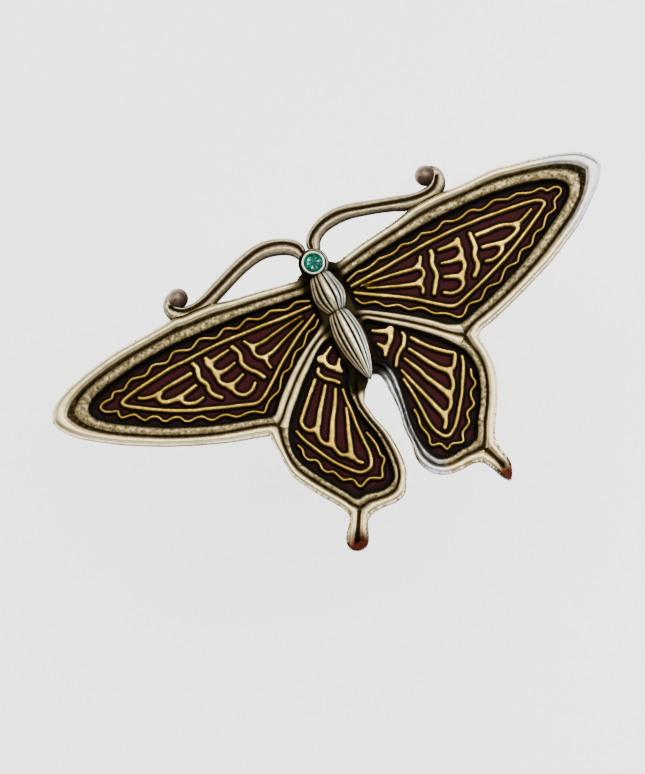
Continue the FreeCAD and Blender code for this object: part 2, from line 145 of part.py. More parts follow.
# centre lines of the groove that runs between the two beads of the rim
FORE_GROOVE = [(3.4, 7.10), (5.0, 7.32), (10.0, 8.05), (15.0, 8.38), (20.0, 8.50), (25.0, 8.40), (30.0, 7.70), (33.0, 6.95), (35.0, 6.00), (35.62, 4.80), (34.6, 3.35), (31.2, 0.64), (28.3, -1.18), (25.0, -2.80), (20.0, -5.20), (16.4, -6.60)]
HIND_GROOVE = [(2.57, -6.9), (2.78, -8.9), (2.42, -12.0), (1.98, -14.9), (1.92, -17.2), (2.25, -18.7), (2.95, -20.0), (3.9, -21.1), (5.0, -21.65), (6.3, -21.7), (7.6, -21.6), (8.7, -21.75)]

# =============================================================================


SPANS = 5                 # spans of a spline kept in one edge, so that areas integrate exactly


def spline(points):
    """One smooth curve through the points, as a run of short edges cut from it."""
    if len(points) == 2:
        return [Part.LineSegment(points[0], points[1]).toShape()]
    c = Part.BSplineCurve()
    c.interpolate(points)
    knots = c.getKnots()
    cuts = list(range(0, len(knots) - 1, SPANS))
    if len(cuts) > 1 and len(knots) - 1 - cuts[-1] < 2:
        cuts.pop()
    cuts.append(len(knots) - 1)
    edges = []
    for i, j in zip(cuts, cuts[1:]):
        piece = c.copy()
        piece.segment(knots[i], knots[j])
        edges.append(piece.toShape())
    return edges


def at(points, side, z):
    return [V(side * x, y, z) for x, y in points]


def prism(edges, z0, h):
    wire = Part.Wire(Part.__sortEdges__(edges))
    face = Part.Face(wire)
    s = face.extrude(V(0, 0, h))
    if s.Volume < 0:
        s.reverse()
    return s


def cell(runs, side, z0, h):
    """Upright prism on one closed cell outline; the last run is closed by a straight edge."""
    edges = [e for r in runs for e in spline(at(r, side, z0))]
    a, b = at([runs[-1][-1], runs[0][0]], side, z0)
    edges.append(Part.LineSegment(a, b).toShape())
    return prism(edges, z0, h)


def outline(z0, h):
    """Whole wing outline: the two halves meet at the crotch and the head closes the top."""
    edges = [e for r in RIGHT_OUTLINE for e in spline(at(r, 1, z0))] + [e for r in LEFT_OUTLINE for e in spline(at(r, -1, z0))]
    hx, hy = RIGHT_OUTLINE[0][0]
    edges.append(Part.Arc(V(hx, hy, z0), V(0, HEAD_Y + HEAD_R, z0), V(-hx, hy, z0)).toShape())
    return prism(edges, z0, h)


def stroke(points, width, side, z0, h):
    """A wire of constant width that follows a smooth centre line, with round ends."""
    c = Part.BSplineCurve()
    c.interpolate(at(points, side, z0))
    n = max(5, int(c.length() / (0.20 if width < 0.3 else 0.30)))
    hw = width / 2.0
    left, right, ends = [], [], []
    samples = c.discretize(Number=n)
    for p in samples:
        t = c.tangent(c.parameter(p))[0]
        m = V(-t.y, t.x, 0)
        left.append(p + m * hw)
        right.append(p - m * hw)
        ends.append(t)
    cap_a = Part.Arc(right[0], samples[0] - ends[0] * hw, left[0]).toShape()
    cap_b = Part.Arc(left[-1], samples[-1] + ends[-1] * hw, right[-1]).toShape()
    return prism([cap_a, cap_b] + spline(left) + spline(right), z0, h)


def joined(strokes, side, z0, h):
    s = stroke(strokes[0][0], strokes[0][1], side, z0, h)
    for pts, w in strokes[1:]:
        s = s.fuse(stroke(pts, w, side, z0, h))
    return s.removeSplitter()


def tube(r, x0, x1, y, z):
    return Part.makeCylinder(r, x1 - x0, V(x0, y, z), V(1, 0, 0))


def box(x0, x1, y0, y1, z0, z1):
    return Part.makeBox(x1 - x0, y1 - y0, z1 - z0, V(x0, y0, z0))


nodes = {}

# ---- backing sheet, wing frame and enamel -----------------------------------
nodes["back_plate"] = outline(0.0, PLATE_T)
frame = outline(PLATE_T, RIM_TOP - PLATE_T)
cells = {}
for side, name, fore, hind in ((1, "right", RIGHT_FORE_CELL, RIGHT_HIND_CELL), (-1, "left", LEFT_FORE_CELL, LEFT_HIND_CELL)):
    frame = frame.cut(cell(fore, side, PLATE_T - 0.5, RIM_TOP + 1.0))
    frame = frame.cut(cell(hind, side, PLATE_T - 0.5, RIM_TOP + 1.0))
    nodes[name + "_fore_enamel"] = cell(fore, side, PLATE_T, ENAMEL_T)
    nodes[name + "_hind_enamel"] = cell(hind, side, PLATE_T, ENAMEL_T)
for side in (1, -1):
    for g in (FORE_GROOVE, HIND_GROOVE):
        frame = frame.cut(stroke(g, GROOVE_W, side, RIM_TOP - GROOVE_D, GROOVE_D + 0.5))
nodes["frame"] = frame

# ---- gilt wires --------------------------------------------------------------
WIRE_Z = PLATE_T + ENAMEL_T
for side, name, table in ((1, "right", RIGHT_WIRES), (-1, "left", LEFT_WIRES)):
    for wire, strokes in table.items():
        nodes[name + "_" + wire] = joined(strokes, side, WIRE_Z, WIRE_T)

# ---- antennae: a flat curved bar, a webbed foot on the wing and a ball -------
land = outline(-1.0, 6.0)
for side, name, path, ball, web in ((1, "right", RIGHT_ANTENNA, RIGHT_BALL, RIGHT_WEB), (-1, "left", LEFT_ANTENNA, LEFT_BALL, LEFT_WEB)):
    a = stroke(path, 2 * ANTENNA_HALF_W, side, PLATE_T, ANTENNA_TOP - PLATE_T)
    w = at(web, side, PLATE_T)
    foot = Part.Face(Part.makePolygon(w + [w[0]])).extrude(V(0, 0, 1.3))
    a = a.fuse(foot)
    centre = V(side * ball[0], ball[1], 1.75)
    sphere = Part.makeSphere(ball[2], centre)
    if side == 1:
        sphere.rotate(centre, V(0, 0, 1), 180)     # seam towards the body, clear of the hook
    a = a.fuse(sphere)
    a = a.cut(land)
    a = a.cut(box(-40, 0, 0, 30, -5, 10) if side == 1 else box(0, 40, 0, 30, -5, 10))
    a = max(a.Solids, key=lambda s: s.Volume)
    nodes[name + "_antenna"] = a

# ---- body: thorax, abdomen and the collar of the head in one casting ---------


def half_turned(profile, y_end=None):
    """Solid turned about the body line (the Y axis at the rim's top), upper half only."""
    pts = [V(r, y, RIM_TOP) for y, r in profile]
    edges = spline(pts)
    a, b = pts[0], pts[-1]
    top = V(0, a.y, RIM_TOP)
    edges.append(Part.LineSegment(top, a).toShape())
    if y_end is None:
        bot = V(0, b.y, RIM_TOP)
        edges.append(Part.LineSegment(b, bot).toShape())
    else:
        bot = V(0, y_end, RIM_TOP)
        edges.append(Part.LineSegment(b, bot).toShape())
    edges.append(Part.LineSegment(bot, top).toShape())
    face = Part.Face(Part.Wire(Part.__sortEdges__(edges)))
    turned = face.revolve(V(0, 0, RIM_TOP), V(0, 1, 0), 360)
    return turned.cut(box(-10, 10, -20, 20, RIM_TOP - 10, RIM_TOP))


body = half_turned(BODY_PROFILE).fuse(half_turned(TAIL_PROFILE, TAIL_TIP_Y))
body.rotate(V(0, HEAD_Y, 0), V(0, 0, 1), BODY_TILT)
collar = Part.makeCylinder(HEAD_R, HEAD_H, V(0, HEAD_Y, RIM_TOP))
body = body.fuse(collar).removeSplitter()
body = body.cut(Part.makeCylinder(BEZEL_R, 4.0, V(0, HEAD_Y, RIM_TOP - 0.5)))
nodes["body"] = body

# ---- bezel cup and stone -----------------------------------------------------
girdle_z = RIM_TOP + 0.20 + STONE_PAVILION_H
cup = Part.makeCylinder(BEZEL_R, BEZEL_H, V(0, HEAD_Y, RIM_TOP))
seat = Part.makeCone(0.0, STONE_R, STONE_PAVILION_H, V(0, HEAD_Y, RIM_TOP + 0.20))
cup = cup.cut(seat.fuse(Part.makeCylinder(STONE_R, 3.0, V(0, HEAD_Y, girdle_z))))
nodes["bezel_cup"] = cup


def ring(r, z, n, turn=0.0):
    return [V(r * math.cos(2 * math.pi * (i + turn) / n), HEAD_Y + r * math.sin(2 * math.pi * (i + turn) / n), z) for i in range(n)]


def facet(*pts):
    return Part.Face(Part.makePolygon(list(pts) + [pts[0]]))


# round cut: eight-sided table, kite and triangle crown, eight-sided pavilion
g_top = ring(STONE_R - 0.005, girdle_z + STONE_GIRDLE_T, 16)
g_low = ring(STONE_R - 0.005, girdle_z, 16)
table = ring(TABLE_R, girdle_z + STONE_GIRDLE_T + STONE_CROWN_H, 8)
culet = V(0, HEAD_Y, girdle_z - STONE_PAVILION_H + 0.02)
faces = [facet(*table)]
for i in range(16):
    j = (i + 1) % 16
    faces.append(facet(g_low[i], g_low[j], g_top[j], g_top[i]))
    faces.append(facet(g_low[j], g_low[i], culet))
for i in range(8):
    j = (i + 1) % 8
    a, b, c = g_top[2 * i], g_top[(2 * i + 1) % 16], g_top[(2 * i + 2) % 16]
    faces.append(facet(table[i], a, b))
    faces.append(facet(table[i], b, table[j]))
    faces.append(facet(table[j], b, c))
stone = Part.Solid(Part.makeShell(faces))
if stone.Volume < 0:
    stone.reverse()
nodes["stone"] = stone

# ---- pin joint: foot, two ears, rivet and the pin itself ---------------------
foot = box(JOINT_X - 2.4, JOINT_X + 1.9, PIN_Y - 1.7, PIN_Y + 1.7, -FOOT_T, 0)
for s in (-1, 1):
    y0 = PIN_Y + (EAR_GAP / 2 if s > 0 else -EAR_GAP / 2 - EAR_T)
    ear = box(JOINT_X - EAR_R, JOINT_X + EAR_R, y0, y0 + EAR_T, PIN_Z, -FOOT_T)
    ear = ear.fuse(Part.makeCylinder(EAR_R, EAR_T, V(JOINT_X, y0, PIN_Z), V(0, 1, 0)))
    foot = foot.fuse(ear)
foot = foot.removeSplitter()
foot = foot.cut(Part.makeCylinder(RIVET_R, 6, V(JOINT_X, PIN_Y - 3, PIN_Z), V(0, 1, 0)))
nodes["joint_bracket"] = foot

out = EAR_GAP / 2 + EAR_T
rivet = Part.makeCylinder(RIVET_R, 2 * out, V(JOINT_X, PIN_Y - out, PIN_Z), V(0, 1, 0))
for s in (-1, 1):
    rivet = rivet.fuse(Part.makeCone(0.80, 0.50, 0.28, V(JOINT_X, PIN_Y + s * out, PIN_Z), V(0, s, 0)))
nodes["joint_rivet"] = rivet

pin = Part.makeCylinder(EYE_R, EYE_T, V(JOINT_X, PIN_Y - EYE_T / 2, PIN_Z), V(0, 1, 0))
taper_x = PIN_TIP_X + PIN_TAPER
pin = pin.fuse(tube(PIN_R, taper_x, JOINT_X - 0.6, PIN_Y, PIN_Z))
pin = pin.fuse(Part.makeCone(PIN_R, 0.05, PIN_TAPER, V(taper_x, PIN_Y, PIN_Z), V(-1, 0, 0)))
pin = pin.removeSplitter()
pin = pin.cut(Part.makeCylinder(RIVET_R + RIVET_CLEAR, 3, V(JOINT_X, PIN_Y - 1.5, PIN_Z), V(0, 1, 0)))
nodes["pin_stem"] = pin

# ---- roll-over catch: fixed C and the turning sleeve with its tab ------------
c0, c1 = CATCH_X - CATCH_L / 2, CATCH_X + CATCH_L / 2
catch = tube(CATCH_OR, c0, c1, PIN_Y, PIN_Z)
catch = catch.fuse(box(c0, c1, PIN_Y - 0.9, PIN_Y + 0.9, PIN_Z, -FOOT_T))
catch = catch.fuse(box(c0 - 0.6, c1 + 0.6, PIN_Y - 1.8, PIN_Y + 1.8, -FOOT_T, 0)).removeSplitter()
catch = catch.cut(tube(CATCH_IR, c0 - 1, c1 + 1, PIN_Y, PIN_Z))
catch = catch.cut(box(c0 - 1, c1 + 1, PIN_Y - SLOT_W / 2, PIN_Y + SLOT_W / 2, PIN_Z - 3, PIN_Z))
catch = catch.cut(box(CATCH_X - WINDOW_L / 2, CATCH_X + WINDOW_L / 2, PIN_Y - 3, PIN_Y + 3, PIN_Z - 3, PIN_Z - 0.22))
nodes["catch_bracket"] = catch

s0, s1 = CATCH_X - SLEEVE_L / 2, CATCH_X + SLEEVE_L / 2
sleeve = tube(SLEEVE_OR, s0, s1, PIN_Y, PIN_Z)
tab = box(CATCH_X - TAB_L / 2, CATCH_X + TAB_L / 2, PIN_Y + 0.7, PIN_Y + TAB_R, PIN_Z - TAB_T / 2, PIN_Z + TAB_T / 2)
tab = tab.fuse(tube(TAB_T / 2 + 0.06, CATCH_X - TAB_L / 2, CATCH_X + TAB_L / 2, PIN_Y + TAB_R, PIN_Z))
tab.rotate(V(CATCH_X, PIN_Y, PIN_Z), V(1, 0, 0), TAB_ANGLE)
sleeve = sleeve.fuse(tab)
sleeve = sleeve.cut(tube(SLEEVE_IR, s0 - 1, s1 + 1, PIN_Y, PIN_Z))
sleeve = sleeve.cut(box(s0 - 1, s1 + 1, PIN_Y - SLEEVE_SLOT_W / 2, PIN_Y + SLEEVE_SLOT_W / 2, PIN_Z - 3, PIN_Z))
nodes["catch_sleeve"] = sleeve

# ---- origin at the bottom centre, then write ---------------------------------
low = [1e9] * 3
high = [-1e9] * 3
for s in nodes.values():
    b = s.optimalBoundingBox(False, False)
    for i, (p, q) in enumerate(((b.XMin, b.XMax), (b.YMin, b.YMax), (b.ZMin, b.ZMax))):
        low[i] = min(low[i], p)
        high[i] = max(high[i], q)
shift = V(-(low[0] + high[0]) / 2, -(low[1] + high[1]) / 2, -low[2])
print("size %.3f %.3f %.3f" % tuple(high[i] - low[i] for i in range(3)))
print("shift %.4f %.4f %.4f" % (shift.x, shift.y, shift.z))
for name, s in nodes.items():
    s = s.copy()
    s.translate(shift)
    print(name, len(s.Solids), s.isValid(), round(s.Volume, 3))
    s.exportStep("parts/" + name + ".step")
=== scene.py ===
import math
import bpy
import numpy as np
from mathutils import Vector, Matrix


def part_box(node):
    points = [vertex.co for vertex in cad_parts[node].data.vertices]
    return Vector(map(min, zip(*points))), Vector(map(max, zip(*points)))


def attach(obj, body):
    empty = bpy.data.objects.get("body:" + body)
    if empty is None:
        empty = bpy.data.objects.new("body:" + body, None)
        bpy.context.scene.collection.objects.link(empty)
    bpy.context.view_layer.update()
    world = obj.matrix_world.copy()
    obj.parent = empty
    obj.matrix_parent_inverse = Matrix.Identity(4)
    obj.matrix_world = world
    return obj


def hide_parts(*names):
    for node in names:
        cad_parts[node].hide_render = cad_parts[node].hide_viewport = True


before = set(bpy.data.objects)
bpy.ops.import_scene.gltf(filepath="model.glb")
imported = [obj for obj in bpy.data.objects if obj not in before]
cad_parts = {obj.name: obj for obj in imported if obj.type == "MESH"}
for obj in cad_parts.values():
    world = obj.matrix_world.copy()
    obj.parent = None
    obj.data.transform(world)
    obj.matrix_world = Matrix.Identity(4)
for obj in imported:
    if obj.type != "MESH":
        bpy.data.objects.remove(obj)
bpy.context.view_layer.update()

# Sheet frame in millimetres: z = 0 is the flat back of the backing sheet. The
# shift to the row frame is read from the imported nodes, not typed in.
_lo, _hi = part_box("back_plate")
_slo, _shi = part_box("stone")
HEAD_Y = 8.70
SX = (_slo[0] + _shi[0]) / 2 * 1000.0
SY = (_slo[1] + _shi[1]) / 2 * 1000.0 - HEAD_Y
SZ = _lo[2] * 1000.0
PLATE_T = 0.60
RIM_TOP = 2.60
ENAMEL_Z = 1.10
WIRE_H = 0.62

# curves of the wings (x, y) in the sheet frame; the left tables give |x|
RIGHT_OUTLINE = [[(1.90,8.35),(2.53,7.86),(2.97,7.80),(4.58,8.12),(6.69,8.58),(8.84,8.90),(10.98,9.24),(12.58,9.58),(14.06,9.96),(16.22,10.17),(18.03,10.21),(19.76,10.07),(21.92,10.00),(24.08,10.07),(26.15,10.02),(28.26,9.54),(30.39,9.15),(32.51,8.67),(34.60,8.12),(36.44,7.36),(37.59,6.37),(38.29,5.37),(38.38,4.94),(38.26,4.43),(37.49,3.16),(35.99,1.71),(34.37,0.32),(32.91,-0.79),(31.03,-1.85),(29.12,-2.89),(27.18,-3.85),(25.17,-4.65),(23.15,-5.44),(21.11,-6.18),(19.05,-6.88),(16.98,-7.50),(15.61,-7.86),(15.17,-8.22)],
    [(15.17,-8.22),(15.03,-8.87),(15.23,-10.46),(15.16,-12.61),(14.60,-14.68),(13.73,-16.64),(12.65,-18.50),(11.61,-20.36),(11.25,-21.50),(11.39,-22.69),(11.77,-24.39),(11.67,-25.17),(11.15,-26.33),(10.84,-26.65),(10.48,-26.48),(9.99,-25.82),(9.33,-24.30),(8.76,-23.34),(8.26,-22.96),(7.56,-22.76),(5.67,-22.80),(3.97,-22.59),(2.80,-22.02),(1.93,-21.10),(1.30,-19.66),(1.22,-18.80),(1.48,-17.05),(1.45,-14.97),(1.75,-13.27),(1.88,-11.87),(1.83,-10.19),(1.72,-8.21),(1.57,-7.63),(1.30,-7.29),(0.91,-7.11),(0.15,-7.30)]]
RIGHT_FORE_CELL = [[(2.48,5.63),(4.53,6.06),(6.63,6.39),(8.74,6.70),(10.86,6.92),(12.97,7.16),(15.10,7.31),(17.22,7.39),(19.35,7.41),(21.48,7.39),(23.61,7.29),(25.72,7.06),(27.83,6.74),(29.90,6.24),(31.89,5.54),(32.91,4.87),(33.29,4.38),(33.39,3.92),(33.27,3.44),(32.84,2.80),(31.46,1.73),(29.79,0.71),(27.93,-0.33),(26.07,-1.36),(24.18,-2.33),(22.22,-3.18),(20.24,-3.96),(18.24,-4.68),(16.20,-5.29),(14.19,-5.90),(13.48,-5.97),(12.78,-5.73)],
    [(12.78,-5.73),(11.91,-5.25),(10.37,-3.93),(8.74,-2.71),(7.06,-1.53),(5.35,-0.42),(3.60,0.64),(2.43,1.21)]]
RIGHT_HIND_CELL = [[(2.38,-0.62),(3.04,-0.59),(3.71,-1.04),(5.39,-2.30),(7.07,-3.58),(8.67,-4.95),(10.23,-6.37),(11.59,-7.97),(12.55,-9.45),(12.93,-10.90),(12.83,-12.79),(12.17,-14.75),(11.32,-16.42),(10.16,-18.18),(9.49,-19.55),(9.18,-20.01),(8.58,-20.27)],
    [(8.58,-20.27),(8.03,-20.48),(6.88,-20.51),(5.09,-20.74),(4.27,-20.60),(3.77,-20.32),(3.28,-19.75),(2.68,-18.26),(2.44,-16.28),(2.57,-14.18),(2.90,-12.11),(3.19,-10.04),(3.29,-8.19),(2.86,-6.63),(2.31,-5.54),(2.30,-5.03)]]
LEFT_OUTLINE = [[(1.90,8.35),(2.44,8.12),(2.77,7.85),(3.23,7.85),(5.15,8.18),(7.26,8.55),(9.38,8.89),(11.51,9.21),(12.98,9.56),(13.96,9.79),(16.10,9.94),(17.91,10.00),(19.01,10.22),(20.17,10.09),(22.23,9.86),(24.38,9.73),(26.52,9.59),(28.66,9.33),(30.77,8.92),(32.86,8.42),(34.92,7.80),(36.82,6.99),(37.97,6.06),(38.38,5.36),(38.52,4.70),(38.41,4.08),(37.76,2.95),(36.32,1.48),(34.57,0.23),(32.78,-0.95),(30.92,-2.04),(29.02,-3.03),(27.10,-4.00),(25.13,-4.87),(23.15,-5.69),(21.14,-6.46),(19.10,-7.16),(17.04,-7.75),(15.09,-8.28),(14.38,-8.50)],
    [(14.38,-8.50),(14.31,-9.11),(14.29,-9.92),(14.15,-11.21),(14.08,-13.30),(13.95,-14.20),(13.04,-16.08),(11.89,-17.93),(10.63,-19.70),(9.71,-21.22),(9.54,-21.84),(9.60,-22.29),(9.94,-22.94),(10.91,-24.11),(11.30,-25.02),(11.32,-25.49),(11.17,-25.92),(10.88,-26.27),(10.46,-26.52),(9.92,-26.63),(9.38,-26.55),(8.99,-26.34),(8.44,-25.53),(7.82,-23.93),(7.53,-23.47),(7.10,-23.18),(5.94,-22.89),(3.87,-22.97),(2.75,-22.85),(2.05,-22.52),(1.71,-22.18),(1.34,-21.45),(0.55,-19.87),(0.30,-17.92),(0.40,-15.81),(0.63,-14.40),(1.26,-12.32),(1.60,-10.20),(1.57,-9.61),(1.29,-9.14),(0.83,-8.38),(0.45,-8.01),(0.16,-7.70),(-0.15,-7.30)]]
LEFT_FORE_CELL = [[(2.13,5.66),(4.25,5.93),(6.40,6.18),(8.55,6.48),(10.71,6.71),(12.88,6.85),(15.04,6.95),(17.21,7.02),(19.38,7.11),(21.55,7.08),(23.71,6.93),(25.87,6.73),(28.02,6.38),(30.15,5.98),(32.23,5.36),(33.15,4.81),(33.65,4.23),(33.69,3.76),(33.44,3.11),(32.56,2.12),(30.82,0.87),(28.94,-0.22),(27.06,-1.31),(25.13,-2.30),(23.15,-3.19),(21.14,-3.99),(19.09,-4.70),(17.01,-5.33),(14.92,-5.93),(13.20,-6.44),(12.66,-6.44),(12.22,-6.12)],
    [(12.22,-6.12),(11.25,-5.03),(9.79,-3.65),(8.25,-2.35),(6.63,-1.15),(4.92,-0.10),(3.18,0.90),(2.13,1.63)]]
LEFT_HIND_CELL = [[(1.93,-0.70),(3.00,-0.87),(4.25,-1.57),(5.88,-2.93),(7.50,-4.30),(9.01,-5.81),(10.50,-7.32),(11.70,-8.94),(12.37,-10.76),(12.44,-12.31),(11.85,-14.06),(10.78,-15.89),(9.61,-17.67),(8.42,-19.41),(7.89,-20.31),(7.38,-20.59)],
    [(7.38,-20.59),(6.52,-20.45),(4.90,-20.80),(3.93,-20.87),(2.93,-20.55),(2.51,-20.25),(2.20,-19.72),(1.92,-18.27),(1.85,-16.13),(2.01,-14.16),(2.51,-12.12),(2.87,-10.01),(2.82,-7.87),(2.40,-6.34),(1.82,-5.53)]]
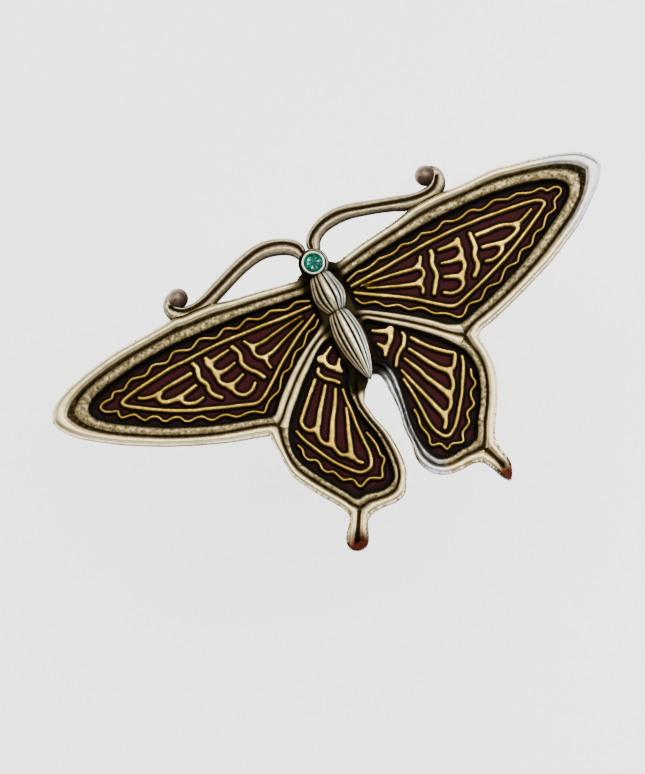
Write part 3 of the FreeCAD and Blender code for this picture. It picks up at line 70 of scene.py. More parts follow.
RIGHT_WIRES = {
    'fore_scallop_wire': [([(2.92,5.06),(4.19,5.48),(4.73,5.57),(5.21,5.48),(5.99,5.47),(6.98,5.66),(7.69,5.90),(8.14,5.87),(9.42,5.78),(10.22,5.91),(10.71,6.15),(11.14,6.27),(11.48,6.25),(12.04,6.07),(12.72,6.05),(13.30,6.17),(13.68,6.39),(13.93,6.49),(14.18,6.49),(14.75,6.30),(15.39,6.13),(15.97,6.14),(16.49,6.34),(16.96,6.61),(17.19,6.65),(17.51,6.59),(18.20,6.29),(18.68,6.18),(19.46,6.21),(20.46,6.50),(20.96,6.52),(21.35,6.41),(21.79,6.14),(22.16,6.01),(22.59,6.01),(23.49,6.24),(23.89,6.37),(24.51,6.31),(25.31,5.99),(25.91,5.79),(26.36,5.84),(27.16,5.90),(27.52,5.80),(28.39,5.43),(29.08,5.25),(29.78,5.28),(30.11,5.26),(30.34,5.17),(30.52,5.01),(30.64,4.82),(30.74,4.69),(30.88,4.62),(31.09,4.60),(31.55,4.64),(31.93,4.60),(32.15,4.50),(32.31,4.36),(32.40,4.21),(32.44,4.06),(32.43,3.91),(32.35,3.75),(32.20,3.58),(31.97,3.43),(31.54,3.30),(31.22,3.15),(31.07,3.01),(30.96,2.75),(30.82,2.28),(30.71,2.11),(30.55,2.01),(30.20,1.92),(29.60,1.83),(29.28,1.66),(28.89,1.25),(28.44,0.66),(28.26,0.53),(28.01,0.47),(27.41,0.42),(27.07,0.30),(26.64,-0.06),(26.30,-0.53),(26.03,-0.77),(25.82,-0.88),(25.56,-0.89),(24.91,-0.85),(24.56,-0.92),(24.28,-1.09),(23.87,-1.57),(23.63,-1.90),(23.44,-2.02),(23.17,-2.08),(22.63,-2.04),(22.07,-2.07),(21.64,-2.22),(21.31,-2.49),(20.67,-3.16),(20.34,-3.37),(20.10,-3.41),(19.55,-3.33),(18.75,-3.31),(18.37,-3.43),(18.02,-3.69),(17.46,-4.22),(17.19,-4.36),(16.89,-4.39),(16.23,-4.27),(15.77,-4.25),(15.42,-4.33),(15.18,-4.49),(14.89,-4.82),(14.46,-5.16),(14.22,-5.25),(13.99,-5.27),(13.75,-5.20),(13.48,-5.03),(12.89,-4.38),(12.29,-3.94),(11.32,-3.50),(10.94,-3.18),(10.30,-2.34),(9.93,-2.03),(9.31,-1.81),(8.69,-1.68),(8.41,-1.52),(8.09,-1.16),(7.63,-0.59),(7.33,-0.40),(6.43,-0.14),(5.98,0.04),(5.73,0.30),(5.33,0.86),(4.94,1.17),(4.57,1.30),(3.87,1.46),(3.51,1.63),(3.26,1.90),(2.95,2.55)], 0.26)],
    'fore_border_wire': [([(3.13,4.25),(4.69,4.37),(6.28,4.48),(7.87,4.55),(9.46,4.71),(11.05,4.84),(12.64,4.99),(14.23,5.11),(15.82,5.14),(17.39,5.18),(18.94,5.14),(20.53,5.05),(21.85,5.00),(23.41,4.83),(24.88,4.70),(26.33,4.54),(27.73,4.37),(29.03,4.10),(29.53,3.84),(29.74,3.66),(29.83,3.48),(29.80,3.28),(29.65,3.12),(28.85,2.59),(27.48,1.79),(26.08,1.02),(24.67,0.28),(23.23,-0.42),(21.78,-1.07),(20.29,-1.65),(18.80,-2.21),(17.29,-2.73),(16.02,-3.14),(14.63,-3.58),(14.01,-3.62),(13.47,-3.46),(12.43,-2.78),(11.17,-1.81),(9.91,-0.83),(8.59,0.07),(7.24,0.91),(5.85,1.70),(4.48,2.51),(3.15,3.33)], 0.38)],
    'fore_vein_fan': [([(4.24,3.75),(5.67,3.66),(7.13,3.50),(8.58,3.31),(10.03,3.08),(11.15,2.89),(11.85,2.97)], 0.36),
        ([(4.87,3.16),(6.27,2.58),(7.70,2.04),(9.15,1.50),(10.54,1.06),(11.26,1.02)], 0.36),
        ([(12.63,3.87),(12.27,3.26),(12.05,3.05),(11.94,2.89),(11.98,2.70),(12.10,2.52),(12.19,2.25),(12.21,1.99),(12.15,1.77),(12.03,1.57),(11.81,1.37),(11.41,1.17),(11.20,1.07),(11.08,0.92),(11.08,0.73),(11.17,0.51),(11.23,0.24),(11.21,0.02),(10.99,-0.40)], 0.36)],
    'fore_inner_band': [([(14.17,3.96),(14.11,3.41),(13.93,3.09),(13.70,2.66),(13.60,2.12),(13.62,1.31),(13.50,0.80),(13.05,0.12),(12.23,-1.11)], 0.46)],
    'fore_middle_claw': [([(17.87,3.88),(17.67,3.25),(17.71,2.81),(17.71,2.40),(17.64,2.19),(17.49,2.01),(17.33,1.85),(17.26,1.65),(17.30,1.43),(17.39,1.09),(17.37,0.77),(17.21,0.39),(16.92,0.00),(16.46,-0.33),(16.24,-0.48),(16.13,-0.66),(16.12,-0.87),(16.20,-1.07),(16.22,-1.29),(16.15,-1.49),(16.01,-1.70),(15.76,-1.90),(15.30,-2.10),(14.85,-2.13),(14.27,-2.03),(13.43,-1.54)], 0.36),
        ([(15.14,3.68),(16.45,3.56),(17.62,3.58)], 0.36),
        ([(14.74,1.98),(15.98,1.68),(16.56,1.62),(17.26,1.73)], 0.36),
        ([(14.34,0.25),(15.39,-0.16),(16.36,-0.58)], 0.36)],
    'fore_outer_band': [([(19.61,3.87),(19.55,2.50),(19.48,1.99),(19.33,1.71),(19.06,1.36),(18.93,1.00),(18.87,0.45),(18.89,0.07),(18.80,-0.20),(18.49,-0.66),(17.84,-1.25)], 0.46)],
    'fore_tip_claw': [([(20.33,3.35),(21.64,3.24),(23.00,3.21),(24.13,2.98),(24.98,2.64),(25.43,2.52),(25.93,2.52),(26.70,2.77),(27.93,3.31)], 0.34),
        ([(20.34,1.60),(21.74,1.32),(22.93,1.04),(23.42,1.05),(24.43,1.31),(25.06,1.60),(25.29,1.77),(25.41,1.93),(25.42,2.12),(25.33,2.35)], 0.34),
        ([(19.95,-0.20),(20.78,-0.38),(21.19,-0.34),(21.81,-0.13),(22.27,0.16),(22.44,0.34),(22.53,0.53),(22.57,0.93)], 0.34)],
    'hind_base_claw': [([(3.11,-2.05),(4.07,-2.55),(4.56,-2.75),(5.27,-2.83)], 0.36),
        ([(5.28,-2.80),(4.93,-3.60),(4.74,-3.96),(4.26,-4.43),(3.69,-4.90),(3.24,-5.55)], 0.36),
        ([(3.02,-3.84),(3.32,-4.31),(3.64,-4.76)], 0.36)],
    'hind_band': [([(6.44,-3.91),(6.50,-4.25),(6.45,-4.48),(6.09,-5.10),(5.76,-5.50),(5.29,-5.78),(4.58,-6.37),(3.92,-7.36)], 0.38)],
    'hind_vein_claw': [([(7.19,-4.96),(8.11,-6.17),(9.15,-7.32),(10.32,-8.33),(11.11,-8.89),(11.27,-9.04),(11.31,-9.23),(11.22,-9.45),(10.70,-10.31),(10.46,-10.58),(10.27,-10.68),(10.06,-10.70),(9.86,-10.75),(9.73,-10.89),(9.69,-11.11),(9.62,-12.02),(9.42,-12.70),(9.16,-13.09),(8.96,-13.28),(8.75,-13.36),(8.55,-13.42),(8.42,-13.57),(8.38,-13.77),(8.38,-14.08),(8.25,-14.49),(7.92,-14.99),(7.59,-15.28),(7.19,-15.46),(6.95,-15.54),(6.80,-15.67),(6.74,-15.87),(6.71,-16.18),(6.58,-16.54),(6.14,-17.13)], 0.36),
        ([(6.35,-6.14),(7.12,-7.39),(7.88,-8.68),(8.72,-9.89),(9.75,-10.82)], 0.36),
        ([(5.31,-7.01),(5.91,-8.18),(6.46,-9.30),(6.72,-10.13),(7.25,-11.15),(7.83,-12.29),(8.42,-13.47)], 0.36),
        ([(4.33,-8.23),(4.79,-9.70),(5.29,-11.21),(5.79,-12.71),(6.27,-14.23),(6.78,-15.67)], 0.36)],
    'hind_border_wire': [([(4.06,-9.35),(4.29,-10.84),(4.44,-12.37),(4.53,-13.84),(4.58,-15.36),(4.84,-16.72),(5.34,-17.67),(5.67,-18.05),(5.88,-18.17),(6.10,-18.22),(6.31,-18.21),(6.57,-18.09),(7.27,-17.62),(8.11,-16.67),(9.01,-15.42),(9.92,-14.17),(10.42,-13.24),(11.11,-12.03),(11.76,-10.74),(11.99,-9.88)], 0.36)],
    'hind_scallop_wire': [([(3.63,-13.44),(3.68,-14.26),(3.50,-15.45),(3.53,-15.89),(3.74,-16.59),(3.83,-17.09),(3.76,-17.60),(3.64,-17.89),(3.59,-18.06),(3.62,-18.20),(3.70,-18.34),(3.83,-18.45),(4.02,-18.53),(4.48,-18.62),(4.72,-18.71),(4.85,-18.83),(4.95,-19.07),(5.10,-19.48),(5.18,-19.62),(5.30,-19.70),(5.44,-19.69),(5.58,-19.61),(5.74,-19.48),(5.94,-19.40),(6.18,-19.39),(6.73,-19.54),(7.14,-19.71),(7.30,-19.72),(7.45,-19.67),(7.57,-19.58),(7.62,-19.43),(7.70,-19.10),(7.87,-18.73),(8.07,-18.52),(8.74,-18.17),(9.05,-17.98),(9.21,-17.79),(9.30,-17.55),(9.32,-17.19),(9.40,-16.86),(9.54,-16.63),(9.71,-16.48),(10.02,-16.37),(10.53,-16.19),(10.69,-16.08),(10.78,-15.95),(10.82,-15.74),(10.82,-15.15),(10.91,-14.72),(11.07,-14.42),(11.27,-14.23),(11.72,-14.01),(11.93,-13.89),(12.04,-13.75),(12.10,-13.54),(12.11,-13.28),(12.03,-12.95),(12.05,-12.55),(12.29,-11.82)], 0.26)],
}
LEFT_WIRES = {
    'fore_scallop_wire': [([(2.48,4.83),(3.73,5.32),(4.17,5.40),(4.61,5.30),(5.25,5.10),(5.66,5.13),(6.74,5.53),(7.41,5.77),(7.77,5.77),(8.39,5.56),(8.85,5.48),(9.40,5.53),(9.90,5.78),(10.43,6.07),(10.71,6.11),(11.04,6.04),(11.92,5.68),(12.22,5.63),(12.49,5.69),(13.21,6.07),(13.62,6.23),(13.87,6.24),(14.17,6.13),(14.86,5.76),(15.15,5.69),(15.45,5.73),(16.24,6.10),(16.93,6.38),(17.23,6.40),(17.59,6.28),(18.36,5.86),(18.72,5.76),(19.11,5.80),(20.04,6.16),(20.69,6.32),(20.97,6.30),(21.25,6.17),(21.82,5.70),(22.07,5.56),(22.32,5.53),(22.72,5.61),(23.70,5.91),(24.02,5.92),(24.30,5.82),(24.88,5.41),(25.21,5.22),(25.52,5.19),(26.27,5.34),(27.02,5.49),(27.37,5.43),(28.01,5.10),(28.41,4.80),(28.64,4.72),(28.94,4.73),(29.54,4.89),(29.81,4.92),(29.99,4.88),(30.15,4.77),(30.30,4.58),(30.41,4.42),(30.54,4.35),(30.74,4.33),(31.32,4.34),(31.85,4.23),(32.08,4.11),(32.20,3.99),(32.27,3.85),(32.27,3.70),(32.20,3.53),(32.05,3.30),(31.79,3.09),(31.07,2.76),(30.72,2.66),(30.56,2.61),(30.47,2.51),(30.48,2.36),(30.51,2.17),(30.51,1.94),(30.45,1.75),(30.36,1.62),(30.23,1.53),(29.98,1.48),(29.03,1.35),(28.71,1.22),(28.54,1.07),(28.37,0.75),(28.07,0.27),(27.87,0.06),(27.71,-0.01),(27.52,-0.01),(27.13,0.05),(26.75,0.01),(26.38,-0.15),(26.14,-0.33),(25.99,-0.59),(25.87,-0.89),(25.72,-1.08),(25.49,-1.22),(25.26,-1.29),(24.89,-1.25),(24.40,-1.24),(23.95,-1.38),(23.68,-1.54),(23.51,-1.78),(23.34,-2.13),(23.16,-2.33),(22.90,-2.46),(22.51,-2.55),(21.93,-2.50),(21.45,-2.55),(21.03,-2.69),(20.83,-2.86),(20.58,-3.23),(20.25,-3.53),(19.96,-3.67),(19.68,-3.71),(19.10,-3.62),(18.57,-3.65),(18.05,-3.84),(17.66,-4.17),(17.25,-4.51),(16.82,-4.68),(16.08,-4.71),(15.16,-4.79),(14.70,-4.98),(14.05,-5.45),(13.85,-5.56),(13.70,-5.58),(13.56,-5.51),(13.34,-5.30),(12.59,-4.60),(11.95,-4.29),(11.06,-4.00),(10.67,-3.75),(10.40,-3.37),(9.88,-2.58),(9.44,-2.16),(9.18,-2.03),(8.80,-2.00),(8.45,-1.91),(8.06,-1.66),(7.70,-1.22),(7.25,-0.72),(6.78,-0.33),(6.49,-0.24),(5.98,-0.17),(5.60,-0.02),(5.33,0.23),(4.77,0.89),(4.35,1.24),(4.00,1.34),(3.43,1.44),(2.97,1.68),(2.50,2.18)], 0.26)],
    'fore_border_wire': [([(2.63,4.17),(4.16,4.23),(5.73,4.28),(7.29,4.39),(8.85,4.52),(10.41,4.61),(11.98,4.68),(13.54,4.79),(15.11,4.84),(16.67,4.82),(18.24,4.76),(19.71,4.68),(20.98,4.68),(22.19,4.65),(23.74,4.45),(25.29,4.25),(26.84,4.03),(28.32,3.74),(29.13,3.51),(29.38,3.38),(29.51,3.23),(29.50,3.03),(29.36,2.87),(28.76,2.38),(27.78,1.76),(26.70,1.08),(25.34,0.30),(23.96,-0.45),(22.54,-1.11),(21.39,-1.61),(20.44,-1.90),(18.97,-2.44),(17.67,-2.92),(16.28,-3.37),(14.80,-3.90),(14.13,-4.08),(13.62,-4.04),(12.82,-3.71),(11.61,-2.84),(10.56,-2.05),(9.36,-1.05),(8.07,-0.16),(6.76,0.70),(5.43,1.53),(4.03,2.23),(2.68,2.95)], 0.38)],
    'fore_vein_fan': [([(4.14,3.55),(5.63,3.40),(7.08,3.18),(8.53,2.93),(9.92,2.67),(11.37,2.68)], 0.36),
        ([(4.27,2.88),(5.57,2.44),(6.83,2.00),(8.14,1.49),(9.39,0.99),(10.59,0.78)], 0.36),
        ([(12.15,3.68),(11.70,2.83),(11.62,2.44),(11.66,1.97),(11.65,1.68),(11.54,1.43),(11.30,1.12),(11.02,0.91),(10.80,0.77),(10.68,0.61),(10.64,0.41),(10.66,0.08),(10.53,-0.74)], 0.36)],
    'fore_inner_band': [([(13.84,3.71),(13.40,2.82),(13.34,2.49),(13.41,2.13),(13.60,1.61),(13.62,1.33),(13.48,0.89),(13.07,0.19),(12.34,-0.58),(11.82,-1.47)], 0.46)],
    'fore_middle_claw': [([(17.51,3.80),(17.32,2.41),(17.13,1.63),(17.19,0.80),(17.15,0.40),(17.02,0.11),(16.60,-0.34),(16.23,-0.72),(16.09,-1.07),(15.96,-1.59),(15.75,-1.92),(15.36,-2.30),(15.04,-2.46),(14.72,-2.51),(14.16,-2.42),(13.81,-2.28),(13.17,-1.68)], 0.36),
        ([(14.54,3.56),(16.02,3.33),(17.50,3.04)], 0.36),
        ([(14.46,1.75),(15.58,1.45),(16.20,1.39),(17.06,1.52)], 0.36),
        ([(14.16,-0.05),(15.27,-0.47),(16.20,-0.66)], 0.36)],
    'fore_outer_band': [([(19.28,3.91),(19.04,3.35),(19.02,3.08),(19.18,2.56),(19.30,2.08),(19.26,1.78),(19.06,1.34),(18.80,0.93),(18.74,0.70),(18.77,0.37),(18.83,-0.02),(18.76,-0.33),(18.47,-0.87),(17.79,-1.54)], 0.46)],
    'fore_tip_claw': [([(20.13,2.92),(21.48,2.80),(22.81,2.70),(23.89,2.59),(24.76,2.36),(25.60,2.37),(26.73,2.59),(27.35,2.92)], 0.34),
        ([(20.17,1.25),(21.66,0.94),(22.94,0.77),(24.13,0.90),(24.65,1.09),(24.86,1.27),(24.99,1.47),(25.06,1.67),(25.03,1.87),(24.84,2.22)], 0.34),
        ([(19.95,-0.54),(20.82,-0.71),(21.35,-0.63),(22.05,-0.34),(22.33,-0.12),(22.47,0.08),(22.60,0.63)], 0.34)],
    'hind_base_claw': [([(2.55,-1.69),(3.44,-2.19),(3.97,-2.42),(4.47,-2.47)], 0.36),
        ([(4.39,-2.44),(4.10,-2.81),(4.00,-3.13),(3.93,-3.51),(3.72,-3.82),(3.07,-4.43),(2.79,-4.66),(2.59,-5.06)], 0.36),
        ([(2.17,-3.53),(2.54,-4.05),(2.89,-4.58)], 0.36)],
    'hind_band': [([(5.16,-3.50),(5.34,-3.77),(5.39,-3.96),(5.35,-4.16),(5.19,-4.53),(4.83,-5.01),(3.93,-5.73),(3.50,-6.22)], 0.38)],
    'hind_vein_claw': [([(6.16,-4.59),(7.22,-5.66),(8.30,-6.77),(9.32,-7.86),(9.79,-8.35),(9.95,-8.58),(10.02,-8.83),(10.00,-9.23),(9.88,-9.63),(9.70,-9.91),(9.48,-10.09),(9.25,-10.18),(9.00,-10.22),(8.81,-10.30),(8.69,-10.46),(8.67,-10.68),(8.76,-11.46),(8.73,-11.87),(8.57,-12.25),(8.31,-12.59),(8.10,-12.74),(7.89,-12.82),(7.72,-12.93),(7.63,-13.12),(7.44,-13.91),(7.26,-14.43),(7.08,-14.65),(6.69,-14.88),(6.15,-15.19),(5.95,-15.41),(5.80,-15.79),(5.64,-16.19),(5.19,-16.64)], 0.36),
        ([(5.26,-5.80),(6.00,-6.83),(6.78,-7.84),(7.55,-8.91),(8.14,-9.88),(8.68,-10.43)], 0.36),
        ([(4.27,-6.75),(4.89,-7.99),(5.62,-9.20),(6.36,-10.33),(7.01,-11.59),(7.65,-12.81)], 0.36),
        ([(4.06,-9.53),(4.54,-11.01),(5.09,-12.43),(5.54,-13.85),(6.08,-15.30)], 0.36)],
    'hind_border_wire': [([(3.44,-7.23),(3.60,-8.74),(3.62,-10.29),(3.71,-11.26),(3.79,-12.75),(3.81,-14.28),(3.79,-15.74),(3.98,-16.78),(4.23,-17.34),(4.42,-17.56),(4.65,-17.69),(5.11,-17.79),(5.57,-17.77),(5.96,-17.64),(6.55,-17.16),(7.51,-16.13),(8.45,-14.92),(9.23,-13.58),(9.95,-12.21),(10.63,-10.82),(11.03,-9.52)], 0.36)],
    'hind_scallop_wire': [([(3.06,-13.45),(2.71,-14.72),(2.60,-15.47),(2.66,-16.50),(2.65,-16.77),(2.54,-16.99),(2.44,-17.18),(2.42,-17.35),(2.47,-17.51),(2.63,-17.75),(3.04,-18.15),(3.27,-18.49),(3.52,-19.15),(3.61,-19.33),(3.72,-19.43),(3.87,-19.43),(4.04,-19.37),(4.71,-19.02),(5.12,-18.87),(5.40,-18.88),(5.94,-19.07),(6.33,-19.27),(6.50,-19.31),(6.65,-19.28),(6.77,-19.19),(6.87,-19.06),(6.94,-18.86),(6.97,-18.54),(7.06,-18.27),(7.20,-18.08),(7.43,-17.92),(7.92,-17.76),(8.21,-17.63),(8.38,-17.46),(8.53,-17.12),(8.85,-16.36),(9.01,-16.14),(9.19,-16.03),(9.45,-15.96),(9.67,-15.86),(9.87,-15.66),(10.04,-15.38),(10.11,-15.03),(10.10,-14.51),(10.18,-14.17),(10.31,-13.94),(10.49,-13.77),(10.84,-13.63),(11.12,-13.46),(11.30,-13.25),(11.42,-12.96),(11.46,-12.61),(11.36,-12.10),(11.36,-11.78),(11.59,-11.23)], 0.26)],
}

TAIL_TIP = {1: (10.80, -26.72), -1: (9.85, -26.70)}

# =============================================================================
# numerical helpers


def spl(points, ds=0.12):
    """Centripetal Catmull-Rom curve through the points, evenly resampled."""
    P = np.array(points, float)
    P = np.vstack([2 * P[0] - P[1], P, 2 * P[-1] - P[-2]])
    out = []
    for i in range(1, len(P) - 2):
        p0, p1, p2, p3 = P[i - 1], P[i], P[i + 1], P[i + 2]
        t0 = 0.0
        t1 = t0 + max(np.linalg.norm(p1 - p0), 1e-6) ** 0.5
        t2 = t1 + max(np.linalg.norm(p2 - p1), 1e-6) ** 0.5
        t3 = t2 + max(np.linalg.norm(p3 - p2), 1e-6) ** 0.5
        n = max(3, int(np.linalg.norm(p2 - p1) / 0.05))
        t = np.linspace(t1, t2, n, endpoint=False)[:, None]
        a1 = (t1 - t) / (t1 - t0) * p0 + (t - t0) / (t1 - t0) * p1
        a2 = (t2 - t) / (t2 - t1) * p1 + (t - t1) / (t2 - t1) * p2
        a3 = (t3 - t) / (t3 - t2) * p2 + (t - t2) / (t3 - t2) * p3
        b1 = (t2 - t) / (t2 - t0) * a1 + (t - t0) / (t2 - t0) * a2
        b2 = (t3 - t) / (t3 - t1) * a2 + (t - t1) / (t3 - t1) * a3
        out.append((t2 - t) / (t2 - t1) * b1 + (t - t1) / (t2 - t1) * b2)
    out.append(P[-2][None, :])
    C = np.vstack(out)
    d = np.r_[0, np.cumsum(np.hypot(*np.diff(C, axis=0).T))]
    n = max(2, int(round(d[-1] / ds)) + 1)
    s = np.linspace(0, d[-1], n)
    return np.c_[np.interp(s, d, C[:, 0]), np.interp(s, d, C[:, 1])]


def sided(P, side):
    return P * np.array([side, 1.0])


def poly_dist(Q, P, w=None, chunk=6000):
    """Distance from points Q to the polyline P; with w, distance minus half the local width."""
    A, B = P[:-1], P[1:]
    D = B - A
    L2 = (D ** 2).sum(1) + 1e-12
    out = np.empty(len(Q))
    for i in range(0, len(Q), chunk):
        q = Q[i:i + chunk]
        qx = q[:, 0, None] - A[None, :, 0]
        qy = q[:, 1, None] - A[None, :, 1]
        t = np.clip((qx * D[:, 0] + qy * D[:, 1]) / L2, 0, 1)
        d = np.hypot(qx - t * D[:, 0], qy - t * D[:, 1])
        if w is not None:
            d = d - 0.5 * (w[:-1] * (1 - t) + w[1:] * t)
        out[i:i + chunk] = d.min(1)
    return out


def inside(Q, P, chunk=20000):
    """Even-odd test of points Q against the closed polygon P."""
    x0, y0 = P[:, 0], P[:, 1]
    x1, y1 = np.roll(x0, -1), np.roll(y0, -1)
    dy = np.where(np.abs(y1 - y0) < 1e-12, 1e-12, y1 - y0)
    out = np.zeros(len(Q), bool)
    for i in range(0, len(Q), chunk):
        q = Q[i:i + chunk]
        c = (y0[None] > q[:, 1, None]) != (y1[None] > q[:, 1, None])
        xi = x0 + (q[:, 1, None] - y0) * (x1 - x0) / dy
        out[i:i + chunk] = (c & (q[:, 0, None] < xi)).sum(1) % 2 == 1
    return out


class Field:
    """A smooth field sampled on a coarse grid and read back by cubic interpolation."""

    def __init__(self, x0, y0, h, F):
        self.x0, self.y0, self.h, self.F = x0, y0, h, F

    def __call__(self, Q):
        F = self.F
        gx = (Q[:, 0] - self.x0) / self.h
        gy = (Q[:, 1] - self.y0) / self.h
        i = np.clip(np.floor(gx).astype(int), 1, F.shape[1] - 3)
        j = np.clip(np.floor(gy).astype(int), 1, F.shape[0] - 3)
        fx, fy = gx - i, gy - j

        def cub(a, b, c, d, t):
            return b + 0.5 * t * (c - a + t * (2 * a - 5 * b + 4 * c - d + t * (3 * (b - c) + d - a)))
        rows = [cub(F[j + k, i - 1], F[j + k, i], F[j + k, i + 1], F[j + k, i + 2], fx) for k in (-1, 0, 1, 2)]
        return cub(*rows, fy)


def hash2(i, j, seed):
    n = (i.astype(np.int64) * 374761393 + j.astype(np.int64) * 668265263 + seed * 1442695041) & 0xFFFFFFFF
    n = ((n ^ (n >> 13)) * 1274126177) & 0xFFFFFFFF
    return ((n ^ (n >> 16)) & 0xFFFF) / 65535.0


def vnoise(Q, scale, seed):
    """Value noise in -1..1 at the given feature size in millimetres."""
    p = Q / scale
    i, j = np.floor(p[:, 0]).astype(int), np.floor(p[:, 1]).astype(int)
    fx, fy = p[:, 0] - i, p[:, 1] - j
    fx, fy = fx * fx * (3 - 2 * fx), fy * fy * (3 - 2 * fy)
    a, b = hash2(i, j, seed), hash2(i + 1, j, seed)
    c, d = hash2(i, j + 1, seed), hash2(i + 1, j + 1, seed)
    return ((a * (1 - fx) + b * fx) * (1 - fy) + (c * (1 - fx) + d * fx) * fy) * 2 - 1


def smooth(e0, e1, x):
    t = np.clip((x - e0) / (e1 - e0), 0, 1)
    return t * t * (3 - 2 * t)


def round_drop(a, r, h):
    """Drop of a rounded shoulder of radius r and height h at distance a from its foot."""
    t = 1 - np.clip(a / r, 0, 1)
    return h * (1 - np.sqrt(np.clip(1 - t * t, 0, 1)))


def march(xs, ys, F):
    """Flat mesh of the region F > 0: (points, polygons counter-clockwise)."""
    ins = F > 0
    ids = np.full(F.shape, -1)
    ids[ins] = np.arange(ins.sum())
    jj, ii = np.nonzero(ins)
    pts = [np.c_[xs[ii], ys[jj]]]
    n = len(jj)
    c = ins[:-1, :-1].astype(int) + ins[:-1, 1:] + ins[1:, 1:] + ins[1:, :-1]
    fj, fi = np.nonzero(c == 4)
    polys = np.c_[ids[fj, fi], ids[fj, fi + 1], ids[fj + 1, fi + 1], ids[fj + 1, fi]].tolist()
    cross, extra = {}, []

    def crossing(a, b):
        key = (a, b) if a < b else (b, a)
        if key not in cross:
            fa, fb = F[key[0]], F[key[1]]
            t = min(max(fa / (fa - fb), 0.06), 0.94)
            (ja, ia), (jb, ib) = key
            extra.append((xs[ia] + t * (xs[ib] - xs[ia]), ys[ja] + t * (ys[jb] - ys[ja])))
            cross[key] = n + len(extra) - 1
        return cross[key]
    pj, pi = np.nonzero((c > 0) & (c < 4))
    for j, i in zip(pj.tolist(), pi.tolist()):
        cor = [(j, i), (j, i + 1), (j + 1, i + 1), (j + 1, i)]
        poly = []
        for k in range(4):
            a, b = cor[k], cor[(k + 1) % 4]
            if ins[a]:
                poly.append(int(ids[a]))
            if ins[a] != ins[b]:
                poly.append(crossing(a, b))
        if len(poly) > 2:
            polys.append(poly)
    if extra:
        pts.append(np.array(extra))
    return np.vstack(pts), polys


def drop_crumbs(pts, polys, keep):
    """Keeps only connected pieces with at least this many polygons."""
    parent = list(range(len(pts)))

    def find(a):
        while parent[a] != a:
            parent[a] = parent[parent[a]]
            a = parent[a]
        return a
    for p in polys:
        r = find(p[0])
        for v in p[1:]:
            s = find(v)
            if s != r:
                parent[s] = r
    roots = [find(p[0]) for p in polys]
    size = {}
    for r in roots:
        size[r] = size.get(r, 0) + 1
    polys = [p for p, r in zip(polys, roots) if size[r] >= keep]
    used = sorted({v for p in polys for v in p})
    m = {v: k for k, v in enumerate(used)}
    return pts[used], [[m[v] for v in p] for p in polys]


def make_object(name, verts_mm, faces, attrs, mat, body="brooch", sharp=38.0, nodes=()):
    V = (np.asarray(verts_mm) + np.array([SX, SY, SZ])) / 1000.0
    me = bpy.data.meshes.new(name)
    me.from_pydata(V.tolist(), [], faces)
    me.update()
    for k, v in (attrs or {}).items():
        a = me.attributes.new(k, "FLOAT", "POINT")
        a.data.foreach_set("value", np.asarray(v, np.float32))
    me.polygons.foreach_set("use_smooth", np.ones(len(me.polygons), bool))
    me.set_sharp_from_angle(angle=math.radians(sharp))
    me.validate()
    ob = bpy.data.objects.new(name, me)
    bpy.context.scene.collection.objects.link(ob)
    me.materials.append(mat)
    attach(ob, body)
    if nodes:
        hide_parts(*nodes)
    return ob


def relief(name, xs, ys, F, top, bottom, mat, nodes, keep=30, sharp=38.0):
    """Closed solid over the region F > 0. top(points) gives heights and attributes."""
    pts, polys = march(xs, ys, F)
    pts, polys = drop_crumbs(pts, polys, keep)
    z, attrs = top(pts)
    n = len(pts)
    edges = {}
    for p in polys:
        for a, b in zip(p, p[1:] + p[:1]):
            edges[(a, b)] = True
    rim = [(a, b) for a, b in edges if (b, a) not in edges]
    verts = np.vstack([np.c_[pts, z], np.c_[pts, np.full(n, bottom)]])
    faces = polys + [[v + n for v in reversed(p)] for p in polys] + [[a, a + n, b + n, b] for a, b in rim]
    attrs = {k: np.r_[v, np.ones(n) if k == "oxide_and_shade" else np.zeros(n)] for k, v in attrs.items()}
    return make_object(name, verts, faces, attrs, mat, sharp=sharp, nodes=nodes)


# =============================================================================
# materials


